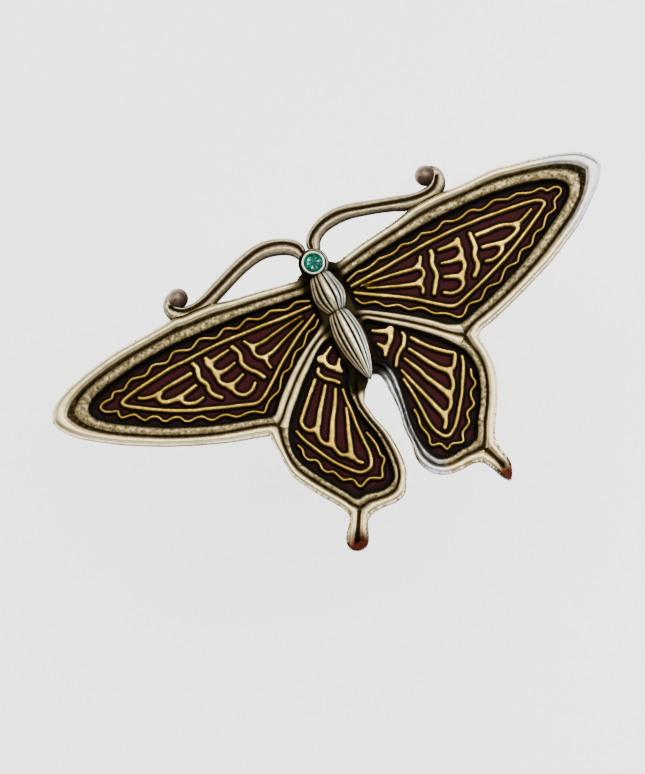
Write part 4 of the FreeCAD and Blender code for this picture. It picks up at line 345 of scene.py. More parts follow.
class Mat:
    def __init__(self, name):
        self.m = bpy.data.materials.new(name)
        self.m.use_nodes = True
        self.t = self.m.node_tree
        self.t.nodes.clear()
        self.out = self.t.nodes.new("ShaderNodeOutputMaterial")
        self.b = self.t.nodes.new("ShaderNodeBsdfPrincipled")
        self.t.links.new(self.b.outputs[0], self.out.inputs[0])
        self.co = self.t.nodes.new("ShaderNodeTexCoord").outputs["Object"]

    def n(self, kind, **kw):
        x = self.t.nodes.new(kind)
        for k, v in kw.items():
            setattr(x, k, v)
        return x

    def link(self, a, b):
        self.t.links.new(a, b)

    def attr(self, name):
        return self.n("ShaderNodeAttribute", attribute_name=name).outputs["Fac"]

    def noise(self, mm, detail=3.0, rough=0.55, vec=None):
        """Noise with features about mm millimetres across."""
        x = self.n("ShaderNodeTexNoise")
        x.inputs["Scale"].default_value = 1000.0 / mm
        x.inputs["Detail"].default_value = detail
        x.inputs["Roughness"].default_value = rough
        self.link(vec or self.co, x.inputs["Vector"])
        return x.outputs["Fac"]

    def ramp(self, fac, stops):
        x = self.n("ShaderNodeValToRGB")
        el = x.color_ramp.elements
        while len(el) < len(stops):
            el.new(0.5)
        for e, (p, c) in zip(el, stops):
            e.position = p
            e.color = tuple(c) + (1.0,) if len(c) == 3 else c
        self.link(fac, x.inputs[0])
        return x.outputs["Color"]

    def maprange(self, v, a, b, c, d):
        x = self.n("ShaderNodeMapRange")
        x.inputs["From Min"].default_value = a
        x.inputs["From Max"].default_value = b
        x.inputs["To Min"].default_value = c
        x.inputs["To Max"].default_value = d
        self.link(v, x.inputs["Value"])
        return x.outputs["Result"]

    def math(self, op, a, b=None, clamp=False):
        x = self.n("ShaderNodeMath", operation=op, use_clamp=clamp)
        for k, v in enumerate((a, b)):
            if v is None:
                continue
            if isinstance(v, (int, float)):
                x.inputs[k].default_value = v
            else:
                self.link(v, x.inputs[k])
        return x.outputs[0]

    def mix(self, fac, a, b, blend="MIX"):
        x = self.n("ShaderNodeMix", data_type="RGBA", blend_type=blend)
        for sock, v in ((x.inputs[0], fac), (x.inputs[6], a), (x.inputs[7], b)):
            if isinstance(v, (int, float)):
                sock.default_value = v
            elif isinstance(v, tuple):
                sock.default_value = v + (1.0,) if len(v) == 3 else v
            else:
                self.link(v, sock)
        return x.outputs[2]

    def bump(self, height, strength, mm):
        x = self.n("ShaderNodeBump")
        x.inputs["Strength"].default_value = strength
        x.inputs["Distance"].default_value = mm / 1000.0
        self.link(height, x.inputs["Height"])
        self.link(x.outputs[0], self.b.inputs["Normal"])


def silver(name, light, mid, dark, rough=0.34, grain_bump=0.35, tail=False, painted_cool_light=None):
    """Antiqued cast metal: bright on the crests, darker where the attribute oxide_and_shade says so,
    which holds patina left in the hollows together with painted shade, with a cast grain where the attribute grain says
    so."""
    m = Mat(name)
    oxide_and_shade = m.attr("oxide_and_shade")
    grain = m.attr("grain")
    fine = m.noise(0.16, 4.0, 0.65)
    mid_n = m.noise(0.55, 3.0, 0.6)
    big = m.noise(4.5, 2.0, 0.5)
    speck = m.maprange(fine, 0.40, 0.66, 0.0, 1.0)
    patches = m.maprange(mid_n, 0.40, 0.70, 0.0, 1.0)
    g = m.math("MULTIPLY", grain, m.math("ADD", m.math("MULTIPLY", speck, 0.16), m.math("MULTIPLY", patches, 0.12)))
    base = m.math("ADD", oxide_and_shade, g)
    base = m.math("ADD", base, m.math("MULTIPLY", m.math("SUBTRACT", mid_n, 0.5), 0.34))
    base = m.math("ADD", base, m.math("MULTIPLY", m.math("SUBTRACT", big, 0.5), 0.24), clamp=True)
    col = m.ramp(base, [(0.0, light), (0.26, mid), (0.55, tuple(0.30 * a + 0.70 * b for a, b in zip(mid, dark))), (0.80, dark), (1.0, tuple(0.28 * b for b in dark))])
    # painted cool light: a bluish tint multiplied in where the attribute says, standing in for a cool lamp on the right
    if painted_cool_light:
        col = m.mix(m.attr("painted_cool_light"), col, m.mix(0.75, col, painted_cool_light, "MULTIPLY"))
    if tail:
        col = m.mix(m.attr("tip"), col, m.mix(1.0, col, (0.13, 0.036, 0.040), "MULTIPLY"))
    m.link(col, m.b.inputs["Base Color"])
    m.link(m.maprange(base, 0.0, 1.0, rough, 0.70), m.b.inputs["Roughness"])
    m.link(m.maprange(base, 0.35, 0.85, 1.0, 0.0), m.b.inputs["Metallic"])
    m.b.inputs["Specular IOR Level"].default_value = 0.02
    h = m.math("ADD", m.math("MULTIPLY", fine, 0.6), m.math("MULTIPLY", mid_n, 0.4))
    m.bump(h, grain_bump, 0.05)
    return m.m


M_RIM = silver("antique_rim", (0.75, 0.630, 0.345), (0.37, 0.295, 0.142), (0.026, 0.018, 0.007), 0.32, 0.45, tail=True, painted_cool_light=(0.76, 1.0, 2.30))
M_ANT = silver("antique_antenna", (0.55, 0.47, 0.285), (0.21, 0.165, 0.092), (0.022, 0.013, 0.007), 0.34, 0.34)
M_BALL = silver("antique_ball", (0.35, 0.268, 0.20), (0.12, 0.082, 0.059), (0.018, 0.009, 0.008), 0.42, 0.34)
M_BODY = silver("antique_body", (0.84, 0.735, 0.48), (0.38, 0.32, 0.19), (0.020, 0.014, 0.007), 0.28, 0.30, painted_cool_light=(0.80, 1.02, 1.55))
M_BEZEL = silver("bezel_lip", (0.84, 0.90, 0.76), (0.52, 0.58, 0.46), (0.035, 0.05, 0.030), 0.22, 0.14)


def gilt():
    m = Mat("gilt_relief")
    # the attribute is painted shade down the flanks of each ridge, leaving the crest bright
    h = m.attr("oxide_and_shade")
    mid_n = m.noise(0.5, 3.0, 0.6)
    fine = m.noise(0.14, 3.0, 0.6)
    big = m.noise(5.0, 2.0, 0.5)
    v = m.math("ADD", m.math("ADD", h, 0.10), m.math("MULTIPLY", m.math("SUBTRACT", mid_n, 0.5), 0.62))
    v = m.math("ADD", v, m.math("MULTIPLY", m.math("SUBTRACT", big, 0.5), 0.50), clamp=True)
    col = m.ramp(v, [(0.0, (0.84, 0.58, 0.150)), (0.08, (0.57, 0.37, 0.066)), (0.27, (0.34, 0.208, 0.031)), (0.50, (0.15, 0.090, 0.016)), (0.74, (0.026, 0.016, 0.004)), (1.0, (0.004, 0.003, 0.002))])
    m.link(col, m.b.inputs["Base Color"])
    m.link(m.maprange(v, 0.0, 1.0, 0.27, 0.62), m.b.inputs["Roughness"])
    m.link(m.maprange(v, 0.45, 0.85, 1.0, 0.0), m.b.inputs["Metallic"])
    m.b.inputs["Specular IOR Level"].default_value = 0.02
    m.bump(m.math("ADD", m.math("MULTIPLY", fine, 0.5), mid_n), 0.26, 0.05)
    return m.m


def enamel():
    m = Mat("maroon_enamel")
    e = m.attr("oxide_and_shade")
    cloud = m.noise(1.8, 3.0, 0.55)
    fine = m.noise(0.22, 3.0, 0.6)
    v = m.math("ADD", e, m.math("MULTIPLY", m.math("SUBTRACT", cloud, 0.5), 0.55), clamp=True)
    col = m.ramp(v, [(0.0, (0.038, 0.0042, 0.0056)), (0.35, (0.020, 0.0027, 0.0032)), (0.75, (0.007, 0.0025, 0.002)), (1.0, (0.002, 0.0015, 0.001))])
    m.link(col, m.b.inputs["Base Color"])
    m.link(m.maprange(fine, 0.3, 0.7, 0.30, 0.46), m.b.inputs["Roughness"])
    m.b.inputs["Specular IOR Level"].default_value = 0.035
    m.bump(m.math("ADD", m.math("MULTIPLY", fine, 0.25), cloud), 0.16, 0.06)
    return m.m


def stone_mat():
    m = Mat("green_crystal")
    # painted glints: random facets get a bright teal colour and a metal-like reflection
    f = m.attr("facet_glint")
    n = m.noise(0.45, 2.0, 0.5)
    v = m.math("ADD", m.math("MULTIPLY", f, 0.75), m.math("MULTIPLY", n, 0.32), clamp=True)
    col = m.ramp(v, [(0.0, (0.000, 0.013, 0.009)), (0.42, (0.000, 0.060, 0.038)), (0.74, (0.002, 0.220, 0.150)), (1.0, (0.20, 0.95, 0.80))])
    m.link(col, m.b.inputs["Base Color"])
    m.b.inputs["Roughness"].default_value = 0.06
    m.b.inputs["IOR"].default_value = 1.62
    m.b.inputs["Specular IOR Level"].default_value = 0.06
    m.link(m.maprange(f, 0.3, 1.0, 0.0, 0.6), m.b.inputs["Metallic"])
    return m.m


def plain_metal(name, light, dark, rough, brushed=0.0, mm=0.35):
    m = Mat(name)
    mp = m.n("ShaderNodeMapping")
    m.link(m.co, mp.inputs["Vector"])
    mp.inputs["Scale"].default_value = (1.0, 1.0 + 14.0 * brushed, 1.0 + 14.0 * brushed)
    fine = m.noise(mm, 4.0, 0.6, mp.outputs[0])
    big = m.noise(6.0, 3.0, 0.55)
    v = m.math("ADD", m.math("MULTIPLY", fine, 0.45), m.math("MULTIPLY", big, 0.60))
    col = m.ramp(v, [(0.30, light), (0.55, tuple(0.6 * a + 0.4 * b for a, b in zip(light, dark))), (0.80, dark)])
    m.link(col, m.b.inputs["Base Color"])
    m.link(m.maprange(v, 0.3, 0.8, rough, rough + 0.25), m.b.inputs["Roughness"])
    m.b.inputs["Metallic"].default_value = 1.0
    m.bump(fine, 0.18, 0.03)
    return m.m


M_GILT = gilt()
M_ENAMEL = enamel()
M_STONE = stone_mat()
M_BACK = plain_metal("satin_back", (0.62, 0.59, 0.53), (0.26, 0.23, 0.19), 0.38, 0.5, 0.9)
M_FIND = plain_metal("plated_finding", (0.70, 0.68, 0.63), (0.36, 0.33, 0.28), 0.28, 0.2)
M_PIN = plain_metal("drawn_wire", (0.78, 0.78, 0.78), (0.52, 0.52, 0.52), 0.18, 1.0, 0.5)

# =============================================================================
# distance fields of the wing sheet


def closed(runs, side):
    return sided(np.vstack([spl(r) for r in runs]), side)


CELLS = {("fore", 1): closed(RIGHT_FORE_CELL, 1), ("hind", 1): closed(RIGHT_HIND_CELL, 1),
         ("fore", -1): closed(LEFT_FORE_CELL, -1), ("hind", -1): closed(LEFT_HIND_CELL, -1)}


def outline_parts(table, side):
    """Outline of one side, split at the point of its tail."""
    C = np.vstack([spl(r) for r in table])
    tip = np.array([abs(TAIL_TIP[side][0]), TAIL_TIP[side][1]])
    k = int(np.argmin(np.hypot(*(C - tip).T)))
    return sided(C[:k + 1], side), sided(C[k:], side)


R1, R2 = outline_parts(RIGHT_OUTLINE, 1)
L1, L2 = outline_parts(LEFT_OUTLINE, -1)
ang = np.linspace(math.atan2(8.35 - HEAD_Y, 1.90), math.pi - math.atan2(8.35 - HEAD_Y, 1.90), 60)
head_arc = np.c_[1.93 * np.cos(ang), HEAD_Y + 1.93 * np.sin(ang)]
OUT = np.vstack([head_arc[::-1], R1[1:], R2[1:], L2[::-1][1:], L1[::-1][1:-1]])

H = 0.20
gx = np.arange(-39.6, 39.8, H)
gy = np.arange(-28.0, 16.0, H)
GX, GY = np.meshgrid(gx, gy)
G = np.c_[GX.ravel(), GY.ravel()]
out_sign = np.where(inside(G, OUT), 1.0, -1.0)


def field(v):
    return Field(gx[0], gy[0], H, v.reshape(GX.shape))


F_OUT = field(out_sign * poly_dist(G, np.vstack([OUT, OUT[:1]])))
F_PARTS = [field(out_sign * poly_dist(G, p)) for p in (R1, R2, L1, L2)]
F_CELL = {}
for key, c in CELLS.items():
    s = np.where(inside(G, c), -1.0, 1.0)
    F_CELL[key] = field(s * poly_dist(G, np.vstack([c, c[:1]])))

# =============================================================================
# wing frame

h = 0.085
xs = np.arange(-38.9, 38.9, h)
ys = np.arange(-27.2, 11.0, h)
XX, YY = np.meshgrid(xs, ys)
Q = np.c_[XX.ravel(), YY.ravel()]
Fv = F_OUT(Q) - 0.015
for f in F_CELL.values():
    Fv = np.minimum(Fv, f(Q))


def frame_top(P):
    d = np.abs(np.stack([f(P) for f in F_PARTS] + [f(P) for f in F_CELL.values()]))
    order = np.argsort(d, axis=0)
    a = np.take_along_axis(d, order[:1], 0)[0]
    b = np.take_along_axis(d, order[1:2], 0)[0]
    outer = order[0] < 4
    both_cells = (order[0] >= 4) & (order[1] >= 4)
    S = a + b
    # the groove runs midway on the forewings and a little further in on the hindwings
    two_out = (order[0] < 4) & (order[1] < 4)
    rho = np.where(both_cells | two_out, 0.5, 0.5 + 0.07 * smooth(-5.0, -7.5, P[:, 1]))
    d_out = np.where(order[0] < 4, a, b)
    frac = np.where(both_cells, a / S, d_out / S)
    outer = (frac < rho) & ~both_cells & ((order[0] < 4) | (order[1] < 4))
    g = np.abs(frac - rho) * S
    a = np.where(outer, d_out, np.where(both_cells | ((order[0] >= 4) & (order[1] >= 4)), a, S - d_out))
    # the groove dies out before the point of each tail
    fade = np.ones(len(P))
    tipd = np.full(len(P), 99.0)
    for side, (x, y) in TAIL_TIP.items():
        r = np.hypot(P[:, 0] - side * abs(x), P[:, 1] - y)
        tipd = np.minimum(tipd, r)
        fade = np.minimum(fade, smooth(1.55 if side > 0 else 0.95, 2.4 if side > 0 else 1.7, r))
    tip = 1 - smooth(1.2, 3.6, tipd)
    tail = 1 - smooth(3.5, 5.5, tipd)
    half = 0.07 + 0.15 * np.clip(S - 2.5, 0, 3.0) + 0.04 * tail
    gg = np.clip(g - half * 0.8, 0, None)
    t = a / (a + gg + 1e-6)                      # across a bead: 0 at its free edge, 1 at the groove
    bw = a + gg
    crest = np.clip(1 - np.abs(2 * t - 1) ** 2.7, 0, 1) ** 0.62
    top = np.where(both_cells, RIM_TOP - 0.08, np.where(outer, RIM_TOP - 0.02, RIM_TOP - 0.20))
    edge_drop = np.where(both_cells, 0.55, np.where(outer, np.clip(0.45 * bw + 0.35, 0.5, 1.0), 0.60))
    groove_drop = np.where(both_cells, 0.50, np.where(outer, 0.66, 0.48)) * fade
    z = top - np.where(t < 0.5, edge_drop, groove_drop) * (1 - crest)
    line = np.exp(-((gg - 0.40) / 0.07) ** 2) * outer * fade * smooth(2.2, 3.0, S)
    z -= 0.05 * line
    grain = np.where(outer | both_cells, 0.12, 1.0) * smooth(0.0, 0.12, a)
    grain = np.where(outer & (gg < 0.30), 0.5, grain)
    grain = np.clip(grain + 0.6 * (1 - smooth(0.0, half + 0.05, g)) * (S > 3.0), 0, 1)
    rough_z = (0.034 * vnoise(P, 0.30, 3) + 0.022 * vnoise(P, 0.17, 5)) * grain
    z += rough_z + 0.014 * vnoise(P, 1.1, 9) + 0.010 * vnoise(P, 0.5, 13)
    # the groove holds patina; next to the cell openings the darkening is patina plus painted shadow of the rim
    groove = (1 - smooth(-0.04, np.where(outer, 0.26, 0.20), gg)) * fade
    wall = 1 - smooth(0.0, np.where(outer, 0.10, 0.26), a)
    oxide_and_shade = np.clip(np.maximum(0.84 * groove, np.where(outer, 0.46, 0.97) * wall), 0, 1)
    oxide_and_shade = np.maximum(oxide_and_shade, np.maximum(0.34 * line, 0.22 * tip))
    oxide_and_shade = np.where(~outer & ~both_cells, np.maximum(oxide_and_shade, 0.20 + 0.16 * (1 - crest)), oxide_and_shade)
    oxide_and_shade = np.clip(oxide_and_shade - 0.30 * rough_z / 0.05 * grain, 0, 1)
    # the central web, close to the body, and the inner corners of the wings by the head are darkened: painted shade of
    # the crevices by the body and head, together with patina
    web = 1 - smooth(2.1, 3.5, np.abs(P[:, 0] - 0.10))
    web = web * smooth(-9.2, -8.2, P[:, 1])
    oxide_and_shade = np.maximum(oxide_and_shade, 0.97 * web * (1 - 0.25 * np.where(both_cells, crest, 0)))
    neck_painted_shade = 1 - smooth(0.7, 2.6, np.hypot(np.clip(np.abs(P[:, 0]) - 1.9, 0, None), P[:, 1] - 7.6))
    oxide_and_shade = np.maximum(oxide_and_shade, 0.70 * neck_painted_shade)
    # painted cool light: a bluish tint on the inner rim of the right hindwing and on the outer bead at the right
    # forewing's tip
    painted_cool_light = smooth(1.2, 1.9, P[:, 0]) * (1 - smooth(3.4, 5.0, P[:, 0])) * (P[:, 1] < -5.5)
    painted_cool_light = np.maximum(painted_cool_light, 0.8 * smooth(28, 34, P[:, 0]) * outer * (gg > 0.2))
    oxide_and_shade = np.clip(oxide_and_shade + 0.07 * (~outer), 0, 1)
    # painted highlight: the rim at the inner edge of the right hindwing is lightened
    painted_highlight = smooth(1.2, 1.9, P[:, 0]) * (1 - smooth(4.6, 6.4, P[:, 0])) * smooth(6.8, 8.2, -P[:, 1])
    oxide_and_shade = oxide_and_shade * (1 - 0.55 * painted_highlight)
    return z, {"oxide_and_shade": oxide_and_shade, "grain": grain, "painted_cool_light": painted_cool_light.astype(float), "tip": tip}


relief("wing_frame", xs, ys, Fv.reshape(XX.shape), frame_top, PLATE_T, M_RIM, ["frame"], keep=400)

# =============================================================================
# gilt lines and enamel

TAPER = {("fore_vein_fan", 0): (0.14, 0.44), ("fore_vein_fan", 1): (0.14, 0.48), ("fore_vein_fan", 2): (0.40, 0.34),
         ("fore_middle_claw", 0): (0.40, 0.30), ("fore_middle_claw", 1): (0.26, 0.44), ("fore_middle_claw", 2): (0.24, 0.46), ("fore_middle_claw", 3): (0.28, 0.44),
         ("fore_tip_claw", 0): (0.40, 0.24), ("fore_tip_claw", 1): (0.34, 0.40), ("fore_tip_claw", 2): (0.28, 0.36),
         ("hind_base_claw", 0): (0.30, 0.46), ("hind_base_claw", 1): (0.50, 0.32), ("hind_base_claw", 2): (0.28, 0.46),
         ("hind_vein_claw", 0): (0.34, 0.32), ("hind_vein_claw", 1): (0.26, 0.46), ("hind_vein_claw", 2): (0.26, 0.50), ("hind_vein_claw", 3): (0.24, 0.46),
         ("fore_inner_band", 0): (0.44, 0.40), ("fore_outer_band", 0): (0.46, 0.42), ("hind_band", 0): (0.40, 0.34),
         ("fore_scallop_wire", 0): (0.27, 0.27), ("hind_scallop_wire", 0): (0.27, 0.27),
         ("fore_border_wire", 0): (0.38, 0.38), ("hind_border_wire", 0): (0.36, 0.36)}
FLANK = 0.25      # the ridge spreads this much to each side at its foot
hw = 0.06


def smin(a, b, k):
    t = np.clip(0.5 + 0.5 * (b - a) / k, 0, 1)
    return b * (1 - t) + a * t - k * t * (1 - t)


WIRES = []
for side, nm, table in ((1, "right", RIGHT_WIRES), (-1, "left", LEFT_WIRES)):
    for wname, strokes in table.items():
        cur = []
        for k, (pts, w) in enumerate(strokes):
            P = sided(spl(pts, 0.09), side)
            w0, w1 = TAPER.get((wname, k), (w, w))
            ww = np.linspace(w0, w1, len(P)) * (1.32 if "claw" in wname else 1.16 if "band" in wname else 1.02)
            ww = ww * (1 + 0.10 * vnoise(P, 0.7, 21 + k))
            cur.append((P, ww))
        WIRES.append((nm, side, wname, cur))

for nm, side, wname, cur in WIRES:
    allp = np.vstack([P for P, _ in cur])
    x0, y0 = allp.min(0) - 0.75
    x1, y1 = allp.max(0) + 0.75
    wx, wy = np.arange(x0, x1, hw), np.arange(y0, y1, hw)
    near = np.zeros((len(wy), len(wx)), bool)
    ci = np.clip(((allp[:, 0] - x0) / hw).astype(int), 0, len(wx) - 1)
    cj = np.clip(((allp[:, 1] - y0) / hw).astype(int), 0, len(wy) - 1)
    r = int(0.72 / hw)
    for dj in range(-r, r + 1):
        for di in range(-r, r + 1):
            if di * di + dj * dj <= r * r:
                near[np.clip(cj + dj, 0, len(wy) - 1), np.clip(ci + di, 0, len(wx) - 1)] = True
    J, I = np.nonzero(near)
    q = np.c_[wx[I], wy[J]]

    def sdf(q, cur=cur):
        d = None
        for P, ww in cur:
            e = poly_dist(q, P, ww, 3000)
            d = e if d is None else smin(d, e, 0.50)
        return d
    Fw = np.full(near.shape, -1.0)
    cell = F_CELL[("fore" if wname.startswith("fore") else "hind", side)]
    lim = -cell(q) - 0.03
    Fw[J, I] = np.minimum(FLANK - sdf(q), lim)

    def wire_top(P, sdf=sdf):
        e = FLANK - sdf(P)                       # depth inside the foot of the ridge
        t = np.clip(e / (FLANK + 0.17), 0, 1)
        z = ENAMEL_Z - 0.02 + WIRE_H * np.sin(t * math.pi / 2) ** 0.9
        z += 0.015 * vnoise(P, 0.5, 31)
        # painted shade: each gilt ridge darkens down its flanks toward the foot and stays bright on the crest
        oxide_and_shade = 1 - smooth(0.02, FLANK + 0.12, e)
        return z, {"oxide_and_shade": oxide_and_shade}
    relief(nm + "_" + wname, wx, wy, Fw, wire_top, ENAMEL_Z - 0.35, M_GILT, [nm + "_" + wname], keep=12, sharp=60)

he = 0.12
for side, nm in ((1, "right"), (-1, "left")):
    for kind in ("fore", "hind"):
        c = CELLS[(kind, side)]
        x0, y0 = c.min(0) - 0.3
        x1, y1 = c.max(0) + 0.3
        ex, ey = np.arange(x0, x1, he), np.arange(y0, y1, he)
        EX, EY = np.meshgrid(ex, ey)
        q = np.c_[EX.ravel(), EY.ravel()]
        Fe = -F_CELL[(kind, side)](q)
        lines = [(P, ww) for n2, s2, w2, cur in WIRES if s2 == side and w2.startswith(kind) for P, ww in cur]

        def enamel_top(P, lines=lines, key=(kind, side)):
            wall = np.clip(-F_CELL[key](P), 0, None)
            d = np.full(len(P), 9.0)
            for L, ww in lines:
                lo, hi = L.min(0) - 1.2, L.max(0) + 1.2
                m = (P[:, 0] > lo[0]) & (P[:, 0] < hi[0]) & (P[:, 1] > lo[1]) & (P[:, 1] < hi[1])
                if m.any():
                    d[m] = np.minimum(d[m], poly_dist(P[m], L[::2], ww[::2], 4000))
            z = ENAMEL_Z - 0.10 + 0.16 * np.exp(-wall / 0.16) + 0.13 * np.exp(-np.clip(d, 0, None) / 0.14)
            z += 0.022 * vnoise(P, 1.3, 41) + 0.010 * vnoise(P, 0.45, 43)
            # painted shade: the enamel darkens next to the wires and the cell walls
            oxide_and_shade = np.maximum(1 - smooth(0.22, 0.50, d), 1 - smooth(0.35, 0.95, wall))
            return z, {"oxide_and_shade": oxide_and_shade}
        relief(nm + "_" + kind + "_enamel", ex, ey, Fe.reshape(EX.shape), enamel_top, PLATE_T, M_ENAMEL, [nm + "_" + kind + "_enamel"], keep=100, sharp=60)

# =============================================================================
# antennae: a bar with two rounded ridges and a groove, webbed to the wing, with a ball

ANT = {
    1: dict(up=[(0.22, 10.75), (0.16, 11.45), (0.62, 12.35), (1.4, 13.04), (2.96, 13.85), (4.9, 14.22), (7.3, 13.98), (9.9, 13.22), (12.7, 12.42), (15.2, 11.68), (16.6, 11.60), (17.5, 11.80), (18.15, 12.35), (18.35, 13.0), (18.2, 13.6)],
            lo=[(1.55, 10.25), (2.1, 11.25), (3.0, 11.85), (4.1, 12.15), (6.35, 12.22), (9.2, 11.60), (12.0, 10.72), (13.3, 10.15), (14.6, 9.85), (16.9, 9.82), (18.6, 10.1), (19.5, 10.9), (19.82, 12.0), (19.72, 12.9), (19.25, 13.65), (18.6, 14.1)],
            mid=[(0.66, 10.8), (0.78, 11.5), (1.55, 12.35), (3.2, 13.12), (5.6, 13.38), (9.2, 12.52), (12.3, 11.66), (15.2, 10.98), (17.3, 10.95), (18.3, 11.45), (18.85, 12.2)],
            ball=(17.64, 12.98, 1.36)),
    -1: dict(up=[(0.22, 10.75), (0.16, 11.45), (0.62, 12.45), (1.55, 13.2), (3.7, 14.1), (5.4, 14.30), (8.04, 13.85), (12.0, 12.42), (15.4, 11.05), (16.6, 10.92), (17.5, 11.1), (18.1, 11.65), (18.3, 12.3), (18.15, 12.9)],
             lo=[(1.45, 10.25), (2.0, 11.0), (2.9, 11.62), (5.2, 12.22), (7.76, 11.85), (9.9, 11.1), (12.6, 10.0), (14.2, 9.45), (16.8, 9.32), (18.7, 9.62), (19.55, 10.35), (19.80, 11.4), (19.6, 12.25), (19.1, 12.95), (18.5, 13.4)],
             mid=[(0.66, 10.8), (0.80, 11.5), (1.6, 12.4), (3.4, 13.25), (5.5, 13.45), (8.6, 12.72), (12.0, 11.45), (15.0, 10.42), (17.2, 10.38), (18.3, 10.95), (18.8, 11.7)],
             ball=(17.52, 12.25, 1.36)),
}


def ball_mesh(cx, cy, cz, r, nu=64, nv=40):
    V, Fc = [], []
    for j in range(1, nv):
        t = math.pi * j / nv
        for i in range(nu):
            a = 2 * math.pi * i / nu
            V.append((cx + r * math.sin(t) * math.cos(a), cy + r * math.sin(t) * math.sin(a), cz + r * math.cos(t)))
    V.append((cx, cy, cz + r))
    V.append((cx, cy, cz - r))
    n = len(V)
    for j in range(nv - 2):
        for i in range(nu):
            k = (i + 1) % nu
            Fc.append([j * nu + i, (j + 1) * nu + i, (j + 1) * nu + k, j * nu + k])
    for i in range(nu):
        k = (i + 1) % nu
        Fc.append([n - 2, i, k])
        Fc.append([n - 1, (nv - 2) * nu + k, (nv - 2) * nu + i])
    return np.array(V), Fc


for side, nm in ((1, "right"), (-1, "left")):
    A = ANT[side]
    up, lo, mid = (sided(spl(A[k], 0.08), side) for k in ("up", "lo", "mid"))
    poly = np.vstack([up, lo[::-1]])
    bx, by, br = side * A["ball"][0], A["ball"][1], A["ball"][2]
    x0, y0 = poly.min(0) - 0.3
    x1, y1 = poly.max(0) + 0.3
    ha = 0.07
    axx, ayy = np.arange(x0, x1, ha), np.arange(y0, y1, ha)
    AX, AY = np.meshgrid(axx, ayy)
    q = np.c_[AX.ravel(), AY.ravel()]
    s = np.where(inside(q, poly), 1.0, -1.0)
    Fa = s * poly_dist(q, np.vstack([poly, poly[:1]]), None, 3000)
    Fa = np.minimum(Fa, -F_OUT(q) + 0.02)         # the web meets the wing's edge

    def ant_top(P, up=up, lo=lo, mid=mid, bx=bx, by=by):
        a = poly_dist(P, up, None, 3000)
        b = poly_dist(P, lo, None, 3000)
        c = poly_dist(P, mid, None, 3000)
        edge = np.minimum(a, b)
        low = (b < a)
        bead = np.clip(edge + c, 0.2, 2.0)
        t = np.clip(edge / bead, 0, 1)
        crest = np.sqrt(np.clip(1 - ((t - 0.52) / 0.52) ** 2, 0, 1))
        z = 1.46 + 0.98 * crest
        gap = np.clip(1 - c / 0.17, 0, 1)
        z = np.where(c < 0.17, np.minimum(z, 2.02 - 0.42 * np.sqrt(np.clip(1 - (c / 0.17) ** 2, 0, 1))), z)
        # the wide web by the wing lies lower than the bar
        webby = smooth(0.95, 1.5, c) * low * (np.abs(P[:, 0]) > 12.0)
        z = z - 0.42 * webby
        z += 0.018 * vnoise(P, 0.35, 51) + 0.012 * vnoise(P, 1.2, 53)
        # the groove and the lower web are darker; painted shade darkens the lower edge and the lower bead's flanks much
        # more than the upper ones
        oxide_and_shade = np.clip(0.06 + 0.85 * gap + 0.75 * (1 - smooth(0.0, 0.22, edge)) * np.where(low, 1.0, 0.35) + 0.25 * low * (1 - crest) + 0.5 * webby, 0, 1)
        root = 1 - smooth(10.5, 11.6, P[:, 1])
        oxide_and_shade = np.clip(np.maximum(oxide_and_shade, 0.5 * root * (1 - crest)), 0, 1)
        return z, {"oxide_and_shade": oxide_and_shade, "grain": np.full(len(P), 0.35), "tip": np.zeros(len(P)), "painted_cool_light": np.zeros(len(P))}
    relief(nm + "_antenna_bar", axx, ayy, Fa.reshape(AX.shape), ant_top, PLATE_T, M_ANT, [nm + "_antenna"], keep=60, sharp=50)
    bv, bf = ball_mesh(bx, by, 1.75, br)
    bump = 1 + 0.010 * vnoise(bv[:, :2] + bv[:, 2:] * 0.7, 0.7, 61)
    bv = np.array([bx, by, 1.75]) + (bv - np.array([bx, by, 1.75])) * bump[:, None] * 0.985
    nrm = (bv - np.array([bx, by, 1.75])) / br
    # painted light and shade: the ball is darker underneath and on the side away from direction (-0.33, 0.94), lighter
    # on top and towards it
    d = np.clip(0.62 - 0.42 * nrm[:, 2] - 0.55 * (-0.33 * nrm[:, 0] + 0.94 * nrm[:, 1]), 0, 1)
    make_object(nm + "_antenna_ball", bv, bf, {"oxide_and_shade": d * 0.9, "grain": np.full(len(bv), 0.3), "rosy": np.ones(len(bv))}, M_BALL, sharp=80, nodes=[nm + "_antenna"])

# =============================================================================
# body: thorax and abdomen with long ribs, the collar of the head, the bezel and the stone

TILT = math.atan2(0.31, 16.45)
THORAX = [(7.28, 1.05), (6.9, 1.42), (6.0, 1.74), (5.0, 2.02), (4.2, 2.10), (3.4, 1.95), (2.7, 1.60), (2.15, 1.22), (1.86, 0.86)]
ABDOMEN = [(2.05, 0.92), (1.6, 1.30), (0.6, 1.63), (-0.5, 1.85), (-1.6, 1.91), (-3.0, 1.77), (-4.2, 1.52), (-5.4, 1.17), (-6.4, 0.79), (-7.2, 0.40), (-7.68, 0.10)]
GROOVES = (-65.0, -41.0, -17.0, 17.0, 41.0, 65.0)


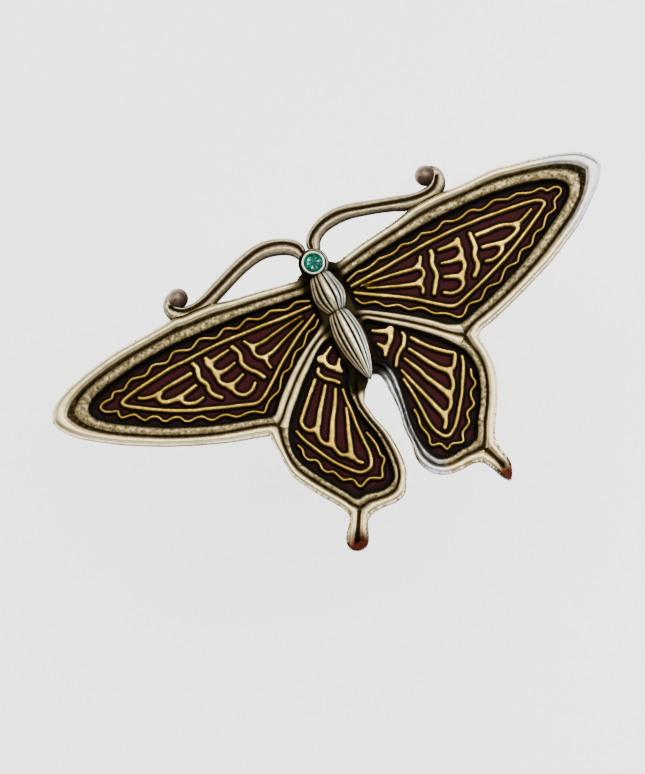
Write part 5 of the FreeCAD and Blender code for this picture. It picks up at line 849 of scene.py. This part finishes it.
def ribbed(name, profile, lift, seed):
    prof = spl([(y, r) for y, r in profile], 0.07)[:, ::1]
    ny, na = len(prof), 181
    th = np.radians(np.linspace(-90, 90, na))
    g = np.zeros(na)
    for a in GROOVES:
        g = np.maximum(g, np.exp(-(np.abs(np.degrees(th) - a) / 3.0) ** 2))
    # ribs are a little arched between their grooves
    arch = np.zeros(na)
    edges = (-90.0,) + GROOVES + (90.0,)
    for a, b in zip(edges, edges[1:]):
        m = (np.degrees(th) >= a) & (np.degrees(th) <= b)
        t = (np.degrees(th)[m] - (a + b) / 2) / ((b - a) / 2)
        arch[m] = np.sqrt(np.clip(1 - t * t, 0, 1))
    verts, oxide_and_shade, painted_cool_light = [], [], []
    y_lo, y_hi = prof[:, 0].min(), prof[:, 0].max()
    for y, r in prof:
        e = min((y - y_lo), (y_hi - y))
        depth = 0.30 * min(1.0, r / 1.5) * smooth(0.0, 0.5, np.array([e]))[0]
        rr = r - depth * g - 0.26 * min(1, r / 1.5) * (1 - arch)
        rr = np.maximum(rr, 0.04)
        X = rr * np.sin(th)
        Z = RIM_TOP + rr * np.cos(th) * lift
        n = vnoise(np.c_[X, np.full(na, y)], 0.5, seed)
        Z = Z + 0.012 * n * (Z > RIM_TOP + 0.1)
        verts.append(np.c_[X, np.full(na, y), Z])
        # painted shade: each segment darkens down its sides toward the base
        painted_flank_shade = 1 - smooth(0.0, 0.32, (Z - RIM_TOP) / max(r, 0.3))
        dd = np.clip(0.98 * g ** 0.8 + 0.30 * (1 - arch) ** 2 + 0.75 * painted_flank_shade + 0.06 * n, 0, 1)
        # painted shade on the left flank of each rib on the left half, and a little over the whole left half
        left = np.clip(-np.degrees(th) / 30.0, 0, 1)
        painted_left_flank_shade = np.zeros(na)
        for a, b in zip(edges, edges[1:]):
            m = (np.degrees(th) >= a) & (np.degrees(th) <= b)
            painted_left_flank_shade[m] = np.clip(((b - np.degrees(th)[m]) / (b - a)) * 1.8 - 0.38, 0, 1)
        dd = np.clip(dd + 0.85 * left * painted_left_flank_shade + 0.16 * left, 0, 1)
        ends = 1 - smooth(0.0, 0.35, np.array([e]))[0]
        oxide_and_shade.append(np.clip(dd + 0.6 * ends, 0, 1))
        # painted cool light: a bluish tint grows toward the right side
        painted_cool_light.append(np.clip(np.degrees(th) / 35.0, 0, 1))
    verts = np.vstack(verts)
    oxide_and_shade, painted_cool_light = np.concatenate(oxide_and_shade), np.concatenate(painted_cool_light)
    n = len(verts)
    faces = []
    for j in range(ny - 1):
        for i in range(na - 1):
            a = j * na + i
            faces.append([a, a + na, a + na + 1, a + 1])
    # flat underside, a little inside the wing frame
    base = []
    for j in range(ny):
        a, b = verts[j * na], verts[j * na + na - 1]
        base += [(a[0], a[1], RIM_TOP - 0.30), (b[0], b[1], RIM_TOP - 0.30)]
    base = np.array(base)
    for j in range(ny - 1):
        p, q2 = n + 2 * j, n + 2 * (j + 1)
        faces.append([j * na, p, q2, (j + 1) * na])
        faces.append([j * na + na - 1, (j + 1) * na + na - 1, q2 + 1, p + 1])
        faces.append([p, p + 1, q2 + 1, q2])
    faces.append([i for i in range(na)] + [n + 1, n])
    last = (ny - 1) * na
    faces.append([last + i for i in reversed(range(na))] + [n + 2 * (ny - 1), n + 2 * (ny - 1) + 1])
    V = np.vstack([verts, base])
    oxide_and_shade = np.r_[oxide_and_shade, np.ones(len(base))]
    painted_cool_light = np.r_[painted_cool_light, np.zeros(len(base))]
    c, s = math.cos(TILT), math.sin(TILT)
    x, y = V[:, 0], V[:, 1] - HEAD_Y
    V = np.c_[x * c - y * s, x * s + y * c + HEAD_Y, V[:, 2]]
    make_object(name, V, faces, {"oxide_and_shade": oxide_and_shade, "painted_cool_light": painted_cool_light, "grain": np.full(len(V), 0.18)}, M_BODY, sharp=55, nodes=["body"])


ribbed("thorax", THORAX, 1.0, 71)
ribbed("abdomen", ABDOMEN, 1.0, 73)


def lathe(name, profile, centre, mat, nodes, n=96, body="brooch", sharp=40, wob=0.0, oxide_and_shade=None, seed=81, painted_side_shade=0.0):
    """Closed ring or cup turned about a vertical axis; the profile is a closed loop of (r, z)."""
    m = len(profile)
    V, D, C = [], [], []
    for i in range(n):
        a = 2 * math.pi * i / n
        for k, (r, z) in enumerate(profile):
            w = 1 + wob * (math.sin(3 * a + 0.6) + 0.6 * math.sin(7 * a + 2.0) + 0.4 * math.sin(11 * a)) if r > 0.01 else 1
            V.append((centre[0] + r * w * math.cos(a), centre[1] + r * w * math.sin(a), z))
            # painted shade: with the side-shade argument the ring darkens away from its right side
            D.append((oxide_and_shade[k] if oxide_and_shade else 0.0) + painted_side_shade * (0.5 - 0.5 * math.cos(a - 0.25)))
            # painted cool light: the right side of the ring gets the bluish tint
            C.append(max(0.0, math.cos(a)))
    faces = []
    for i in range(n):
        j = (i + 1) % n
        for k in range(m):
            l = (k + 1) % m
            faces.append([i * m + k, j * m + k, j * m + l, i * m + l])
    V = np.array(V)
    D = np.array(D) + 0.10 * vnoise(V[:, :2], 0.5, seed)
    return make_object(name, V, faces, {"oxide_and_shade": np.clip(D, 0, 1), "painted_cool_light": np.array(C), "grain": np.full(len(V), 0.3)}, mat, body=body, sharp=sharp, nodes=nodes)


def arc(cx, cz, r, a0, a1, n):
    return [(cx + r * math.cos(math.radians(a0 + (a1 - a0) * k / n)), cz + r * math.sin(math.radians(a0 + (a1 - a0) * k / n))) for k in range(n + 1)]


HC = (0.0, HEAD_Y)
# collar: rounded outer shoulder, a shallow moat next to the bezel
prof = [(1.52, 2.40), (1.93, 2.40), (1.935, 3.10)] + arc(1.62, 3.17, 0.31, 0, 80, 10)[0:] + [(1.60, 3.38), (1.54, 3.22)]
dd = [1.0, 0.9, 0.75] + list(np.linspace(0.66, 0.22, 11)) + [0.75, 1.0]
# painted shade darkens the collar away from its right side
lathe("head_collar", prof, HC, M_BODY, ["body"], oxide_and_shade=dd, wob=0.004, painted_side_shade=0.75)
# bezel: plain wall with a rounded lip pressed over the stone's edge
prof = [(1.10, 2.62), (1.49, 2.62), (1.49, 3.90)] + arc(1.335, 3.955, 0.150, 0, 180, 12) + [(1.19, 3.80), (1.10, 3.55)]
dd = [1.0, 0.85, 0.25] + list(np.linspace(0.08, 0.15, 13)) + [0.85, 1.0]
lathe("bezel_lip_ring", prof, HC, M_BEZEL, ["bezel_cup"], oxide_and_shade=dd, wob=0.003, sharp=60)


def stone_mesh():
    """Round cut seen through its table: crown facets outside, the star of pavilion facets within."""
    zt, zg = 4.31, 3.86
    R, T, M1 = 1.285, 0.80, 0.42
    V, Fc, val = [], [], []

    def add(p):
        V.append(p)
        return len(V) - 1

    def ringpts(r, z, n, turn):
        return [add((HC[0] + r * math.cos(2 * math.pi * (i + turn) / n), HC[1] + r * math.sin(2 * math.pi * (i + turn) / n), z)) for i in range(n)]
    g = ringpts(R, zg, 32, 0.0)
    gl = ringpts(R, zg - 0.08, 32, 0.0)
    mid = ringpts(1.06, 4.16, 16, 0.5)
    t = ringpts(T, zt, 16, 0.0)
    u = ringpts(M1, zt - 0.004, 16, 0.5)
    c = add((HC[0], HC[1], zt - 0.002))
    cul = add((HC[0], HC[1], 2.84))

    def face(f, v):
        Fc.append(f)
        val.append(v)

    def rnd(k):
        return float(hash2(np.array([k]), np.array([k * 7 + 3]), 5)[0])
    for i in range(32):
        j = (i + 1) % 32
        face([g[i], gl[i], gl[j], g[j]], 0.05)
        face([gl[i], cul, gl[j]], 0.05)
    # each crown and table facet gets a random painted glint strength
    for i in range(16):
        j = (i + 1) % 16
        face([g[2 * i], g[2 * i + 1], mid[i]], 0.25 + 0.5 * rnd(i))
        face([g[2 * i + 1], g[(2 * i + 2) % 32], mid[i]], 0.15 + 0.6 * rnd(i + 40))
        face([g[(2 * i + 2) % 32], mid[j], mid[i]], 0.10 + 0.45 * rnd(i + 80))
        face([mid[i], t[j], t[i]], 0.10 + 0.8 * rnd(i + 120) ** 2)
        face([mid[i], mid[j], t[j]], 0.10 + 0.7 * rnd(i + 160) ** 2)
        face([t[i], t[j], u[i]], 0.05 + 0.95 * rnd(i + 200) ** 2.2)
        face([t[j], u[j], u[i]], 0.02 + 0.75 * rnd(i + 240) ** 2.2)
        face([u[i], u[j], c], 0.02 + 0.95 * rnd(i + 280) ** 1.8)
    return np.array(V), Fc, val


sv, sf, sval = stone_mesh()
so = make_object("round_stone", sv, sf, {}, M_STONE, sharp=1, nodes=["stone"])
so.data.polygons.foreach_set("use_smooth", np.zeros(len(so.data.polygons), bool))
fa = so.data.attributes.new("facet_glint", "FLOAT", "FACE")
if len(so.data.polygons) == len(sval):
    fa.data.foreach_set("value", np.array(sval, np.float32))

# =============================================================================
# pieces of the back keep their CAD shape and get worked metal

for node, mat in (("back_plate", M_BACK), ("joint_bracket", M_FIND), ("joint_rivet", M_FIND), ("catch_bracket", M_FIND), ("catch_sleeve", M_FIND), ("pin_stem", M_PIN)):
    for ob in [o for o in bpy.data.objects if o.type == "MESH" and (o.name == node or o.name.startswith(node + "."))]:
        for s_ in ob.material_slots:
            s_.material = mat

# =============================================================================
# floor, light and camera

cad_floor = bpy.data.meshes.new("studio_floor")
FZ = -0.036      # below the tip of the opened pin
fl = 0.9
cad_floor.from_pydata([(-fl, -fl, FZ), (fl, -fl, FZ), (fl, fl, FZ), (-fl, fl, FZ), (-fl, -fl, FZ - 0.01), (fl, -fl, FZ - 0.01), (fl, fl, FZ - 0.01), (-fl, fl, FZ - 0.01)], [],
                     [(0, 1, 2, 3), (7, 6, 5, 4), (0, 4, 5, 1), (1, 5, 6, 2), (2, 6, 7, 3), (3, 7, 4, 0)])
floor = bpy.data.objects.new("studio_floor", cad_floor)
bpy.context.scene.collection.objects.link(floor)
mf = Mat("pale_paper")
pn = mf.noise(1.4, 3.0, 0.5)
mf.link(mf.ramp(pn, [(0.3, (0.90, 0.90, 0.90)), (0.7, (0.93, 0.93, 0.93))]), mf.b.inputs["Base Color"])
mf.b.inputs["Roughness"].default_value = 0.9
mf.b.inputs["Emission Color"].default_value = (1.0, 1.0, 1.0, 1.0)
mf.b.inputs["Emission Strength"].default_value = 1.7
mf.b.inputs["Specular IOR Level"].default_value = 0.1
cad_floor.materials.append(mf.m)

ROLL = math.radians(25.4)
TILT_V = math.radians(6.0)
right = Vector((math.cos(ROLL), -math.sin(ROLL), 0.0))
up0 = Vector((math.sin(ROLL), math.cos(ROLL), 0.0))
aim = Vector(((-5.65 + SX) / 1000.0, (-5.84 + SY) / 1000.0, (SZ + 1.6) / 1000.0))
back = Vector((0.0, 0.0, 1.0))
back = (Matrix.Rotation(TILT_V, 3, Vector((1.0, 0.0, 0.0))) @ back).normalized()
right = (right - back * right.dot(back)).normalized()
up1 = back.cross(right).normalized()
DIST = 0.400
cam_d = bpy.data.cameras.new("camera")
cam = bpy.data.objects.new("camera", cam_d)
bpy.context.scene.collection.objects.link(cam)
cam.matrix_world = Matrix.Translation(aim + back * DIST) @ Matrix((right, up1, back)).transposed().to_4x4()
cam_d.sensor_fit = "VERTICAL"
cam_d.sensor_height = 36.0
cam_d.lens = 36.0 * DIST / 0.09804
cam_d.clip_start = 0.01
cam_d.clip_end = 5.0
bpy.context.scene.camera = cam


def area(name, where, size, power, colour):
    d = bpy.data.lights.new(name, "AREA")
    d.shape = "RECTANGLE"
    d.size, d.size_y = size
    d.energy = power
    d.color = colour
    ob = bpy.data.objects.new(name, d)
    bpy.context.scene.collection.objects.link(ob)
    p = Vector(where)
    ob.location = p
    ob.rotation_euler = (Vector((0, 0, 0)) - p).to_track_quat("-Z", "Y").to_euler()
    return ob


def pic(x, y, z):
    """A place given along the picture's right, the picture's top and the height, in metres."""
    v = right * x + up1 * y
    return (v.x, v.y, z)


area("key", pic(0.08, 0.16, 0.46), (0.54, 0.44), 3.5, (1.0, 0.965, 0.90))
area("right_side", pic(0.42, 0.02, 0.24), (0.26, 0.30), 1.3, (0.86, 0.93, 1.0))
area("left_side", pic(-0.42, 0.06, 0.25), (0.22, 0.30), 0.55, (1.0, 0.90, 0.74))
area("front", pic(-0.05, -0.36, 0.30), (0.30, 0.16), 0.5, (1.0, 0.95, 0.88))

w = bpy.data.worlds.new("studio")
bpy.context.scene.world = w
w.use_nodes = True
wt = w.node_tree
bg = next(n_ for n_ in wt.nodes if n_.type == "BACKGROUND")
bg.inputs[0].default_value = (0.97, 0.97, 1.0, 1.0)
bg.inputs[1].default_value = 0.30
